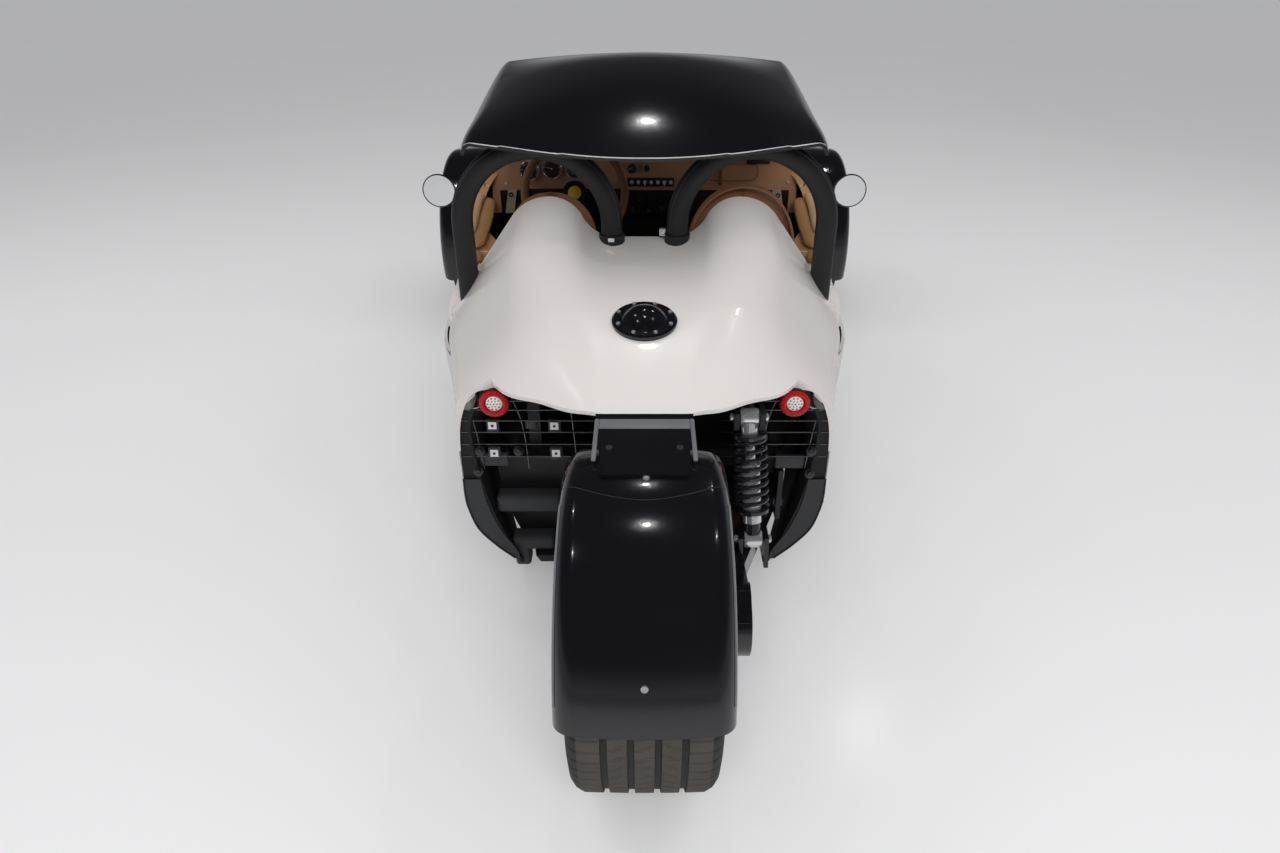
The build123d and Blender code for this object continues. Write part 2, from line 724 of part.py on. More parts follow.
def screen_section(half_w, middle, end, grow):
    """A crescent across the car through a middle and two end points, between two radii."""
    slope = Vector(0, middle[0] - end[0], middle[1] - end[1])
    depth = slope.length
    bend = (half_w**2 + depth**2) / (2 * depth)
    outer_x = sqrt((bend + grow) ** 2 - (bend - depth) ** 2)
    plane = Plane(origin=place(0, *middle), x_dir=(1, 0, 0), z_dir=Vector(1, 0, 0).cross(slope))
    with BuildSketch(plane) as sketch:
        with BuildLine():
            ThreePointArc((-outer_x, -depth), (0, grow), (outer_x, -depth))
            Line((outer_x, -depth), (half_w, -depth))
            ThreePointArc((half_w, -depth), (0, 0), (-half_w, -depth))
            Line((-half_w, -depth), (-outer_x, -depth))
        make_face()
    return sketch.sketch


screen_base = screen_section(BASE_HALF_W, (BASE_AHEAD, BASE_Z), (BASE_END_AHEAD, BASE_END_Z), SCREEN_T)
screen_head = screen_section(
    HEADER_HALF_W, (HEADER_AHEAD, HEADER_Z), (HEADER_END_AHEAD, HEADER_END_Z), SCREEN_T
)


def arc_tube(half_w, middle, end, radius):
    """A round tube along an arc across the car."""
    start = place(-half_w, *end)
    finish = place(half_w, *end)
    with BuildPart() as tube:
        with BuildLine() as path:
            ThreePointArc(start, place(0, *middle), finish)
        with BuildSketch(Plane(origin=start, z_dir=path.line % 0)):
            Circle(radius)
        sweep(path=path.line)
    return tube.part


header = arc_tube(HEADER_HALF_W, (HEADER_AHEAD, HEADER_Z), (HEADER_END_AHEAD, HEADER_END_Z), SCREEN_TUBE_R)
pillar = rod(
    place(BASE_HALF_W, BASE_END_AHEAD, BASE_END_Z),
    place(HEADER_HALF_W, HEADER_END_AHEAD, HEADER_END_Z),
    SCREEN_TUBE_R,
)

with BuildPart() as windshield_frame:
    add(header)
    add(pillar)
    mirror(pillar, about=Plane.YZ)
    with Locations(place(HEADER_HALF_W, HEADER_END_AHEAD, HEADER_END_Z)):
        Sphere(SCREEN_TUBE_R)
    with Locations(place(-HEADER_HALF_W, HEADER_END_AHEAD, HEADER_END_Z)):
        Sphere(SCREEN_TUBE_R)
    add(side_panels.part, mode=Mode.SUBTRACT)
    add(nose_shell.part, mode=Mode.SUBTRACT)
    add(INSIDE_SKIN, mode=Mode.SUBTRACT)
write(windshield_frame, "windshield_frame")

with BuildPart() as windshield_glass:
    add(screen_base)
    add(screen_head)
    loft(ruled=True)
    add(OUTSIDE, mode=Mode.SUBTRACT)
    add(windshield_frame.part, mode=Mode.SUBTRACT)
write(windshield_glass, "windshield_glass")

# Seats
SEAT_BASE_TOP = 320
SEAT_BACK_TOP = 948
SEAT_BACK_HEAD_R = 150
SEAT_BACK_T = 95
SEAT_BACK_LEAN = 105
FLOOR_TOP = 150
SEAT_ROOM_Z = DOOR_TOP_Z
SEAT_ROOM = hull_form(SIDE_WALL + MOVING_GAP, OPEN_BELOW) + slab(
    -SEAT_OUTER, SEAT_OUTER, DECK_FRONT, SEAT_FRONT, SEAT_ROOM_Z, BODY_TOP
)

with BuildPart() as seat_bases:
    with BuildSketch(side_view(SEAT_INNER)):
        with BuildLine():
            Polyline(
                (ahead(SEAT_BACK_FOOT), FLOOR_TOP + TOUCH),
                (ahead(SEAT_FRONT) - 60, FLOOR_TOP + TOUCH),
                (ahead(SEAT_FRONT), SEAT_BASE_TOP - 60),
                (ahead(SEAT_FRONT) - 30, SEAT_BASE_TOP),
                (ahead(SEAT_BACK_FOOT) + 60, SEAT_BASE_TOP - 45),
                (ahead(SEAT_BACK_FOOT), SEAT_BASE_TOP - 45),
                close=True,
            )
        make_face()
    extrude(amount=SEAT_OUTER - SEAT_INNER)
    fillet(seat_bases.edges().filter_by(Axis.X).group_by(Axis.Z)[-1], 22)
    add(SEAT_ROOM, mode=Mode.INTERSECT)
    mirror(about=Plane.YZ)
write(seat_bases, "seat_bases")

with BuildPart() as seat_backs:
    with BuildSketch(station(DECK_FRONT)):
        with BuildLine():
            Line((SEAT_INNER, FLOOR_TOP + TOUCH), (SEAT_OUTER, FLOOR_TOP + TOUCH))
            Line((SEAT_OUTER, FLOOR_TOP + TOUCH), (SEAT_OUTER, 640))
            TangentArc((SEAT_OUTER, 640), (HUMP_X + SEAT_BACK_HEAD_R, SEAT_BACK_TOP - 165), tangent=(0, 1))
            ThreePointArc(
                (HUMP_X + SEAT_BACK_HEAD_R, SEAT_BACK_TOP - 165),
                (HUMP_X, SEAT_BACK_TOP),
                (HUMP_X - SEAT_BACK_HEAD_R, SEAT_BACK_TOP - 165),
            )
            Line((HUMP_X - SEAT_BACK_HEAD_R, SEAT_BACK_TOP - 165), (SEAT_INNER, 740))
            Line((SEAT_INNER, 740), (SEAT_INNER, FLOOR_TOP + TOUCH))
        make_face()
    extrude(amount=-BODY_REACH)
    with BuildSketch(side_view()):
        with BuildLine():
            Polyline(
                (ahead(DECK_FRONT) + TOUCH, SEAT_BACK_TOP + 1),
                (ahead(DECK_FRONT) + TOUCH, 560),
                (ahead(SEAT_BACK_FOOT) - SEAT_BACK_T, FLOOR_TOP),
                (ahead(SEAT_BACK_FOOT) - TOUCH, FLOOR_TOP),
                (ahead(SEAT_BACK_FOOT) - TOUCH, 330),
                (ahead(DECK_FRONT) + SEAT_BACK_T + 15, 620),
                (ahead(DECK_FRONT) + SEAT_BACK_T - 15, SEAT_BACK_TOP + 1),
                close=True,
            )
        make_face()
    extrude(amount=BODY_REACH, mode=Mode.INTERSECT)
    add(SEAT_ROOM, mode=Mode.INTERSECT)
    mirror(about=Plane.YZ)
write(seat_backs, "seat_backs")

# Dashboard
DASH_REAR = 1600
DASH_LOW_Z = 690
DASH_HALF_W = 520
DASH_FRONT = 1700
INSIDE_DASH = hull_form(SKIN + TOUCH, OPEN_BELOW)
GAUGES = [(-388, 834), (-311, 840), (-234, 840)]
GAUGE_R = 34
SWITCH_ROW_Z = 795
SWITCH_PITCH = 22
SWITCHES = 8
COLUMN_R = 24
COLUMN_BORE_R = 12
SHAFT_R = 11.9
column_down = Vector(0, cos(radians(COLUMN_TILT)), -sin(radians(COLUMN_TILT)))
hub_centre = place(*WHEEL_HUB)

with BuildPart() as dashboard:
    with BuildSketch(side_view()):
        with BuildLine():
            Polyline(
                (ahead(DASH_REAR), DASH_LOW_Z),
                (ahead(DASH_FRONT), DASH_LOW_Z),
                (ahead(DASH_FRONT), BODY_TOP),
                (ahead(DASH_REAR) + 30, BODY_TOP),
                (ahead(DASH_REAR) + 12, 800),
                close=True,
            )
        make_face()
    extrude(amount=DASH_HALF_W, both=True)
    add(INSIDE_DASH, mode=Mode.INTERSECT)
    add(side_panels.part, mode=Mode.SUBTRACT)
    with BuildSketch(Plane(origin=hub_centre, z_dir=column_down)):
        Circle(COLUMN_R + TOUCH)
    extrude(amount=BODY_REACH, mode=Mode.SUBTRACT)
write(dashboard, "dashboard")

with BuildPart() as instruments:
    with BuildSketch(station(DASH_REAR + 8)):
        with Locations(GAUGES):
            Circle(GAUGE_R)
    extrude(amount=-60)
    with BuildSketch(station(DASH_REAR - 6)):
        with Locations((12, SWITCH_ROW_Z)):
            with GridLocations(SWITCH_PITCH, 0, SWITCHES, 1):
                Circle(5)
        with Locations((8, 843), (-42, 843)):
            Circle(13)
    extrude(amount=-60)
    add(dashboard.part, mode=Mode.SUBTRACT)
    add(nose_shell.part, mode=Mode.SUBTRACT)
    add(side_panels.part, mode=Mode.SUBTRACT)
write(instruments, "instruments")

with BuildPart() as steering_column:
    with BuildSketch(Plane(origin=hub_centre + column_down * 62, z_dir=column_down)):
        Circle(COLUMN_R)
    extrude(amount=BODY_REACH)
    with BuildSketch(Plane(origin=hub_centre + column_down * 62, z_dir=column_down)):
        Circle(COLUMN_BORE_R)
    extrude(amount=60, mode=Mode.SUBTRACT)
    add(slab(-BODY_REACH, BODY_REACH, 0, FIREWALL - FLOOR_T / 2 - TOUCH, 0, BODY_TOP), mode=Mode.INTERSECT)
write(steering_column, "steering_column")

with BuildPart() as steering_wheel:
    wheel_plane = Plane(origin=hub_centre, x_dir=(1, 0, 0), z_dir=-column_down)
    with BuildSketch(Plane(origin=hub_centre, x_dir=(1, 0, 0), z_dir=wheel_plane.y_dir)):
        with Locations((STEERING_RIM_R, 0)):
            Circle(STEERING_GRIP_R)
    revolve(axis=Axis(hub_centre, wheel_plane.z_dir))
    with BuildSketch(wheel_plane.offset(-12)):
        Circle(38)
        with PolarLocations(0, 1):
            for turn in (0, 180, 270):
                with PolarLocations(STEERING_RIM_R / 2, 1, start_angle=turn):
                    Rectangle(STEERING_RIM_R, 26)
    extrude(amount=10)
    with BuildSketch(wheel_plane.offset(-44)):
        Circle(30)
    extrude(amount=52)
    with BuildSketch(wheel_plane.offset(-110)):
        Circle(SHAFT_R)
    extrude(amount=70)
write(steering_wheel, "steering_wheel")

# Chassis
RAIL = 50
REAR_RAIL_Z = 380
FRONT_RAIL_Z = 205
RAIL_X = 300
NOSE_RAIL_X = 225
NOSE_RAIL_H = 30
UPPER_RAIL_Z = 445
UPPER_RAIL_X = 340
REAR_CROSS = 545
SHOCK_MOUNT_Z = SHOCK_HIGH[2]
TUNNEL_HALF_W = 52
TUNNEL_TOP = 280
BULKHEAD = 905
BULKHEAD_TOP = 560
BELOW_SHELL = slab(-BODY_REACH, BODY_REACH, BODY_BACK, FIREWALL, FLOOR_TOP - FLOOR_T, FLOOR_TOP)

PIVOT_EAR_X = 340

FRAME_BOXES = [
    # x from, x to, back, front, bottom z, top z, on both sides of the car
    (-TUNNEL_HALF_W, TUNNEL_HALF_W, BULKHEAD, FIREWALL, FLOOR_TOP - 1, TUNNEL_TOP, False),
    (RAIL_X - RAIL / 2, RAIL_X + RAIL / 2, PIVOT_AHEAD + 20, BULKHEAD + 5, REAR_RAIL_Z - 25, REAR_RAIL_Z + 25, True),
    (RAIL_X - RAIL / 2, RAIL_X + RAIL / 2, FIREWALL - 5, 2745, FRONT_RAIL_Z - 25, FRONT_RAIL_Z + 25, True),
    (NOSE_RAIL_X - RAIL / 2, NOSE_RAIL_X + RAIL / 2, 2715, 3040, FRONT_RAIL_Z - NOSE_RAIL_H / 2, FRONT_RAIL_Z + NOSE_RAIL_H / 2, True),
    (-RAIL_X, PIVOT_EAR_X, REAR_CROSS - 20, REAR_CROSS + 20, REAR_RAIL_Z - 25, REAR_RAIL_Z + 25, False),
    (-RAIL_X, RAIL_X, REAR_CROSS - 15, REAR_CROSS + 15, 596, 646, False),
    (RAIL_X - 40, RAIL_X - 10, REAR_CROSS - 15, REAR_CROSS + 15, REAR_RAIL_Z, 646, True),
    (-RAIL_X, RAIL_X, 2335, 2365, FRONT_RAIL_Z - 20, FRONT_RAIL_Z + 20, False),
    (-RAIL_X, RAIL_X, 2715, 2745, FRONT_RAIL_Z - 20, FRONT_RAIL_Z + 20, False),
    (-NOSE_RAIL_X, NOSE_RAIL_X, 3000, 3040, FRONT_RAIL_Z - NOSE_RAIL_H / 2, FRONT_RAIL_Z + NOSE_RAIL_H / 2, False),
    (RAIL_X, UPPER_RAIL_X, 2370, 2400, FRONT_RAIL_Z, UPPER_RAIL_Z + 60, True),
    (RAIL_X, UPPER_RAIL_X, 2680, 2710, FRONT_RAIL_Z, UPPER_RAIL_Z + 60, True),
    (UPPER_RAIL_X - 30, UPPER_RAIL_X, 2370, 2710, UPPER_RAIL_Z - 15, UPPER_RAIL_Z + 15, True),
    (UPPER_RAIL_X - 30, UPPER_RAIL_X, 2370, 2710, UPPER_RAIL_Z + 45, UPPER_RAIL_Z + 75, True),
]
JACK_X = 350
JACK_AHEAD = (1000, 1640)
JACK_R = 40
JACK_DROP = 6

frame_boxes = []
for x0, x1, back, front, z0, z1, both in FRAME_BOXES:
    frame_boxes.append(slab(x0, x1, back, front, z0, z1))
    if both:
        frame_boxes.append(slab(-x1, -x0, back, front, z0, z1))

bulkheads = [
    INSIDE_TRIM & slab(-BODY_REACH, BODY_REACH, BULKHEAD, BULKHEAD + FLOOR_T / 2, FLOOR_TOP - FLOOR_T, BULKHEAD_TOP),
    INSIDE_TRIM & slab(-BODY_REACH, BODY_REACH, HOOP_AHEAD - RAIL / 2, HOOP_AHEAD + RAIL / 2, HOOP_FOOT_Z - RAIL, HOOP_FOOT_Z),
    INSIDE_DASH & slab(-BODY_REACH, BODY_REACH, FIREWALL - FLOOR_T / 2, FIREWALL, FLOOR_TOP - FLOOR_T, BODY_TOP),
    INSIDE_TRIM & BELOW_SHELL,
]
EAR_T = 12
PIVOT_EARS = (-110, PIVOT_EAR_X - EAR_T / 2)
SHOCK_EARS = (SHOCK_HIGH[0] - 34, SHOCK_HIGH[0] + 22)

with BuildPart() as pivot_ears:
    for x in PIVOT_EARS:
        with BuildSketch(side_view(x - EAR_T / 2)):
            with BuildLine():
                Polyline(
                    (ahead(PIVOT_AHEAD) - 45, PIVOT_Z - 40),
                    (ahead(PIVOT_AHEAD) + 45, PIVOT_Z - 40),
                    (ahead(REAR_CROSS) + 20, REAR_RAIL_Z - 25),
                    (ahead(REAR_CROSS) + 20, REAR_RAIL_Z + 25),
                    (ahead(PIVOT_AHEAD) - 45, REAR_RAIL_Z + 25),
                    close=True,
                )
            make_face()
            with Locations((ahead(PIVOT_AHEAD), PIVOT_Z)):
                Circle(PIVOT_TUBE_R + TOUCH, mode=Mode.SUBTRACT)
        extrude(amount=EAR_T)
    for x in SHOCK_EARS:
        with BuildSketch(side_view(x)):
            with BuildLine():
                Polyline(
                    (ahead(SHOCK_HIGH[1]) - 24, SHOCK_MOUNT_Z - 20),
                    (ahead(SHOCK_HIGH[1]) + 24, SHOCK_MOUNT_Z - 20),
                    (ahead(REAR_CROSS), 596),
                    (ahead(REAR_CROSS), 646),
                    (ahead(SHOCK_HIGH[1]) - 24, SHOCK_MOUNT_Z + 20),
                    close=True,
                )
            make_face()
        extrude(amount=EAR_T)
    with BuildSketch(side_view(SHOCK_EARS[0])):
        with Locations((ahead(SHOCK_HIGH[1]), SHOCK_MOUNT_Z)):
            Circle(8)
    extrude(amount=SHOCK_EARS[1] - SHOCK_EARS[0] + EAR_T)

with BuildPart() as chassis_frame:
    for piece in bulkheads + frame_boxes:
        add(piece)
    add(pivot_ears.part)
    add(steering_column.part, mode=Mode.SUBTRACT)
    with BuildSketch(Plane.XY.offset(FLOOR_TOP - FLOOR_T - JACK_DROP)):
        with Locations([(x, ahead(y)) for x in (-JACK_X, JACK_X) for y in JACK_AHEAD]):
            Circle(JACK_R)
    extrude(amount=JACK_DROP + FLOOR_T / 2)

REAR_FRAME_ROOM = slab(-BODY_REACH, BODY_REACH, 0, HOOP_AHEAD - RAIL / 2, FLOOR_TOP, BODY_TOP)
FRONT_FRAME_ROOM = slab(-BODY_REACH, BODY_REACH, FIREWALL, NOSE_FRONT, 0, BODY_TOP)

with BuildPart() as rear_frame:
    add(chassis_frame.part & REAR_FRAME_ROOM)
write(rear_frame, "rear_frame")

with BuildPart() as front_frame:
    add(chassis_frame.part & FRONT_FRAME_ROOM)
write(front_frame, "front_frame")

with BuildPart() as floor_frame:
    add(chassis_frame.part - REAR_FRAME_ROOM - FRONT_FRAME_ROOM)
write(floor_frame, "chassis_frame")

# Power unit and radiator
with BuildPart() as engine:
    add(slab(-225, 225, 2250, 2690, FRONT_RAIL_Z + RAIL / 2 + 1, 610))
    add(slab(-RAIL_X + 60, RAIL_X - 60, 2300, 2400, FRONT_RAIL_Z + 20, FRONT_RAIL_Z + RAIL / 2 + 1))
    add(chassis_frame.part, mode=Mode.SUBTRACT)
write(engine, "engine")

with BuildPart() as radiator:
    add(slab(-205, 205, 3000, 3040, FRONT_RAIL_Z + NOSE_RAIL_H / 2 + TOUCH, 500))
write(radiator, "radiator")

# Front suspension and knuckles
ARM_R = 12
LOWER_ARM_SPREAD = 165
UPPER_ARM_SPREAD = 150
COIL_R = 34
DAMPER_R = 22
SHAFT_END_X = 662
HALF_SHAFT_R = 14
BOOT_R = 31

front_centre = place(FRONT_TRACK / 2, WHEELBASE, FRONT_TYRE_R)


def kingpin(z):
    """The place on the right steering axis at that height."""
    return place(KINGPIN_X, WHEELBASE, z)


def eye(z):
    """The round end of an arm about the steering axis."""
    with BuildPart() as ring:
        with BuildSketch(Plane(origin=kingpin(z - EYE_H / 2))):
            Circle(EYE_R)
        extrude(amount=EYE_H)
    return ring.part


arm_bars = []
for spread in (LOWER_ARM_SPREAD, -LOWER_ARM_SPREAD):
    inner = place(RAIL_X + RAIL / 2 - 2, WHEELBASE + spread, LOWER_ARM_Z)
    arm_bars.append(rod(inner, kingpin(LOWER_ARM_Z), ARM_R))
for spread in (UPPER_ARM_SPREAD, -UPPER_ARM_SPREAD):
    inner = place(UPPER_RAIL_X - 2, WHEELBASE + spread, UPPER_RAIL_Z)
    arm_bars.append(rod(inner, kingpin(UPPER_ARM_Z), ARM_R))

COIL_AHEAD = WHEELBASE + 60
COIL_FOOT = place(540, COIL_AHEAD, LOWER_ARM_Z + 4)
COIL_HEAD = place(UPPER_RAIL_X - 2, COIL_AHEAD, UPPER_RAIL_Z + 60)
coil_line = COIL_HEAD - COIL_FOOT
arm_bridge = rod(
    place(540, WHEELBASE - 60, LOWER_ARM_Z), place(540, COIL_AHEAD + 14, LOWER_ARM_Z), ARM_R
)
coil_parts = [
    rod(COIL_FOOT, COIL_HEAD, 14),
    rod(COIL_FOOT + coil_line * 0.12, COIL_FOOT + coil_line * 0.55, DAMPER_R),
    rod(COIL_FOOT + coil_line * 0.3, COIL_FOOT + coil_line * 0.9, COIL_R),
]

with BuildPart() as front_suspension:
    for bar in arm_bars:
        add(bar)
    add(arm_bridge)
    add(eye(LOWER_ARM_Z))
    add(eye(UPPER_ARM_Z))
    for piece in coil_parts:
        add(piece)
    with BuildSketch(Plane(origin=kingpin(0))):
        Circle(STUD_R + BEARING_FIT)
    extrude(amount=BODY_TOP, mode=Mode.SUBTRACT)
    add(chassis_frame.part, mode=Mode.SUBTRACT)
    mirror(about=Plane.YZ)
write(front_suspension, "front_suspension")

with BuildPart() as drive_shafts:
    with BuildSketch(side_view(225)):
        with Locations((ahead(WHEELBASE), FRONT_TYRE_R)):
            Circle(HALF_SHAFT_R)
    extrude(amount=SHAFT_END_X - 225)
    for start, length in ((225, 60), (SHAFT_END_X - 62, 62)):
        with BuildSketch(side_view(start)):
            with Locations((ahead(WHEELBASE), FRONT_TYRE_R)):
                Circle(BOOT_R)
        extrude(amount=length)
    mirror(about=Plane.YZ)
write(drive_shafts, "drive_shafts")

KNUCKLE_HALF_Y = 42
LUG_T = 20
LOWER_LUG_Z = LOWER_ARM_Z - EYE_H / 2 - 2
UPPER_LUG_Z = UPPER_ARM_Z + EYE_H / 2 + 2
BRACKET_Z = 478
BRACKET_T = 14
BRACKET_IN_X = 606
CALIPER_BACK = 172
CALIPER_FRONT = 92
CALIPER_HALF_H = 58
DISC_X = 722
DISC_GAP = 3

with BuildPart() as knuckle:
    add(
        slab(
            KNUCKLE_FACE_X, KNUCKLE_FACE_X + KNUCKLE_T, WHEELBASE - KNUCKLE_HALF_Y, WHEELBASE + KNUCKLE_HALF_Y,
            LOWER_LUG_Z - LUG_T, BRACKET_Z + BRACKET_T,
        )
    )
    for level in (LOWER_LUG_Z - LUG_T, UPPER_LUG_Z):
        with BuildSketch(Plane.XY.offset(level)):
            with Locations((KINGPIN_X, ahead(WHEELBASE))):
                Circle(EYE_R)
            with Locations(((KINGPIN_X + KNUCKLE_FACE_X + KNUCKLE_T) / 2, ahead(WHEELBASE))):
                Rectangle(KNUCKLE_FACE_X + KNUCKLE_T - KINGPIN_X, 2 * EYE_R)
        extrude(amount=LUG_T)
    for low, high in ((LOWER_LUG_Z - LUG_T, LOWER_ARM_Z + EYE_H / 2), (UPPER_ARM_Z - EYE_H / 2, UPPER_LUG_Z + LUG_T)):
        with BuildSketch(Plane.XY.offset(low)):
            with Locations((KINGPIN_X, ahead(WHEELBASE))):
                Circle(STUD_R)
        extrude(amount=high - low)
    add(
        slab(BRACKET_IN_X, KNUCKLE_FACE_X + KNUCKLE_T, WHEELBASE - 36, WHEELBASE + 36, BRACKET_Z, BRACKET_Z + BRACKET_T)
    )
    with BuildSketch(side_view(KNUCKLE_FACE_X)):
        with Locations((ahead(WHEELBASE), FRONT_TYRE_R)):
            Circle(SPINDLE_R)
    extrude(amount=95)
    with BuildSketch(side_view(KNUCKLE_FACE_X)):
        with Locations((ahead(WHEELBASE), FRONT_TYRE_R)):
            Circle(50)
    extrude(amount=KNUCKLE_T + 2)
    add(
        slab(
            KNUCKLE_FACE_X, DISC_X + DISC_T + 18, WHEELBASE - CALIPER_BACK, WHEELBASE - CALIPER_FRONT,
            FRONT_TYRE_R - CALIPER_HALF_H, FRONT_TYRE_R + CALIPER_HALF_H,
        )
    )
    add(
        slab(
            KNUCKLE_FACE_X, KNUCKLE_FACE_X + KNUCKLE_T, WHEELBASE - CALIPER_FRONT - 10, WHEELBASE,
            FRONT_TYRE_R - 35, FRONT_TYRE_R + 35,
        )
    )
    with BuildSketch(side_view(DISC_X - DISC_GAP)):
        with Locations((ahead(WHEELBASE), FRONT_TYRE_R)):
            Circle(DISC_R + DISC_GAP + 3)
            Circle(60, mode=Mode.SUBTRACT)
    extrude(amount=DISC_T + 2 * DISC_GAP, mode=Mode.SUBTRACT)
write(knuckle, "knuckle_right")
mirrored(knuckle, "knuckle_left")

# Fenders
FENDER_T = 5
FRONT_FENDER_R = 376
FRONT_FENDER_HALF_W = 127
FRONT_FENDER_FROM = 52
FRONT_FENDER_SWEEP = 158
FRONT_LIP_R = 320
REAR_FENDER_R = 368
REAR_FENDER_HALF_W = 155.5
REAR_FENDER_FROM = 14
REAR_FENDER_SWEEP = 92
REAR_LIP_R = 302
FENDER_CORNER_R = 42
FENDER_CROWN = 7


def fender_profile(half_w, radius, lip_r, plane):
    """The rounded inverted trough of a fender, its thickness inside the outer form."""
    corner_z = radius - FENDER_CROWN - FENDER_CORNER_R
    crown = crown_radius(half_w, radius - corner_z, FENDER_CORNER_R)
    lean = atan2(corner_z - radius + crown, half_w - FENDER_CORNER_R)
    with BuildSketch(plane) as sketch:
        for inset, mode in ((0, Mode.ADD), (FENDER_T, Mode.SUBTRACT)):
            edge_x = half_w - inset
            low_r = lip_r - inset
            join_x = (crown - inset) * cos(lean)
            join_z = radius - crown + (crown - inset) * sin(lean)
            with BuildLine():
                Line((-edge_x, low_r), (edge_x, low_r))
                Line((edge_x, low_r), (edge_x, corner_z))
                TangentArc((edge_x, corner_z), (join_x, join_z), tangent=(0, 1))
                ThreePointArc((join_x, join_z), (0, radius - inset), (-join_x, join_z))
                TangentArc((-edge_x, corner_z), (-join_x, join_z), tangent=(0, 1))
                Line((-edge_x, corner_z), (-edge_x, low_r))
            make_face(mode=mode)
    return sketch.sketch


def fender(centre, half_w, radius, lip_r, start, sweep_angle):
    """A fender swept back about its axle from an angle ahead of upright."""
    turn = radians(start)
    plane = Plane(origin=centre, x_dir=(1, 0, 0), z_dir=(0, -cos(turn), sin(turn)))
    profile = fender_profile(half_w, radius, lip_r, plane)
    with BuildPart() as shell:
        add(profile)
        revolve(axis=Axis(centre, (1, 0, 0)), revolution_arc=sweep_angle)
    return shell.part


front_wing = fender(
    front_centre, FRONT_FENDER_HALF_W, FRONT_FENDER_R, FRONT_LIP_R, FRONT_FENDER_FROM, FRONT_FENDER_SWEEP
)
STAY_X = front_centre.X - FRONT_FENDER_HALF_W + 4
STAY_R = 8
stays = [
    rod(
        place(BRACKET_IN_X + STAY_R, WHEELBASE + side * 24, BRACKET_Z + BRACKET_T),
        place(STAY_X - STAY_R, WHEELBASE + side * 110, FRONT_TYRE_R + FRONT_LIP_R + 12),
        STAY_R,
    )
    for side in (1, -1)
]
with BuildPart() as front_fender:
    add(front_wing)
    for stay in stays:
        add(stay)
    add(knuckle.part, mode=Mode.SUBTRACT)
write(front_fender, "front_fender_right")
mirrored(front_fender, "front_fender_left")

rear_centre = place(0, 0, REAR_TYRE_R)
with BuildPart() as rear_fender:
    add(
        fender(rear_centre, REAR_FENDER_HALF_W, REAR_FENDER_R, REAR_LIP_R, REAR_FENDER_FROM, REAR_FENDER_SWEEP)
    )
write(rear_fender, "rear_fender")

# Wheels
BEAD_GAP = 0.3
BARREL_T = 12
BARREL_LIP = 6
HUB_R = 62
SPOKE_T = 20
SPOKE_W = 24
TYRE_SHOULDER_R = 26
BEAD_W = 18


def tyre(centre, radius, width):
    """A tyre as a revolved section, its beads against the rim."""
    half = width / 2
    bead = RIM_R + BEAD_GAP
    bulge = (radius + bead) / 2
    with BuildPart() as ring:
        with BuildSketch(Plane(origin=centre, x_dir=(1, 0, 0), z_dir=(0, -1, 0))):
            with BuildLine():
                Line((-half + BEAD_W, bead), (half - BEAD_W, bead))
                ThreePointArc((half - BEAD_W, bead), (half - 3, bulge - 22), (half, bulge))
                Line((half, bulge), (half, radius - TYRE_SHOULDER_R))
                TangentArc(
                    (half, radius - TYRE_SHOULDER_R), (half - TYRE_SHOULDER_R, radius - 3), tangent=(0, 1)
                )
                ThreePointArc(
                    (half - TYRE_SHOULDER_R, radius - 3), (0, radius), (-half + TYRE_SHOULDER_R, radius - 3)
                )
                TangentArc(
                    (-half, radius - TYRE_SHOULDER_R), (-half + TYRE_SHOULDER_R, radius - 3), tangent=(0, 1)
                )
                Line((-half, radius - TYRE_SHOULDER_R), (-half, bulge))
                ThreePointArc((-half, bulge), (-half + 3, bulge - 22), (-half + BEAD_W, bead))
            make_face()
        revolve(axis=Axis(centre, (1, 0, 0)))
    return ring.part


def rim(centre, half_w, spoke_x, hub_from, hub_to):
    """A wheel: barrel, spokes at their place across the car, and the hub that they carry."""
    inner = RIM_R - BARREL_T
    with BuildPart() as wheel:
        with BuildSketch(Plane(origin=centre, x_dir=(1, 0, 0), z_dir=(0, -1, 0))):
            with Locations((0, RIM_R - BARREL_T / 2)):
                Rectangle(2 * half_w, BARREL_T)
        revolve(axis=Axis(centre, (1, 0, 0)))
        with BuildSketch(side_view(spoke_x)):
            with Locations((centre.Y, centre.Z)):
                with PolarLocations((inner + HUB_R) / 2, SPOKES):
                    Rectangle(inner - HUB_R + 12, SPOKE_W)
        extrude(amount=SPOKE_T)
        with BuildSketch(side_view(hub_from)):
            with Locations((centre.Y, centre.Z)):
                Circle(HUB_R + 4)
        extrude(amount=hub_to - hub_from)
        with BuildSketch(side_view(hub_from)):
            with Locations((centre.Y, centre.Z)):
                Circle(SPINDLE_R + BEARING_FIT)
        extrude(amount=hub_to - hub_from - 8, mode=Mode.SUBTRACT)
    return wheel.part


def brake_disc(centre, x, radius):
    """A disc with its bell, bored for the spindle."""
    with BuildPart() as disc:
        with BuildSketch(side_view(x)):
            with Locations((centre.Y, centre.Z)):
                Circle(radius)
                Circle(SPINDLE_R + BEARING_FIT, mode=Mode.SUBTRACT)
        extrude(amount=DISC_T)
    return disc.part


FRONT_HALF_RIM = 107
FRONT_SPOKE_X = 806
FRONT_HUB_FROM = DISC_X + DISC_T
FRONT_HUB_TO = 838
REAR_HALF_RIM = 136
REAR_DISC_X = 106
REAR_HUB_FROM = -128
REAR_SPOKE_X = -118

with BuildPart() as front_tyre:
    add(tyre(front_centre, FRONT_TYRE_R, FRONT_TYRE_W))
write(front_tyre, "front_tyre_right")
mirrored(front_tyre, "front_tyre_left")

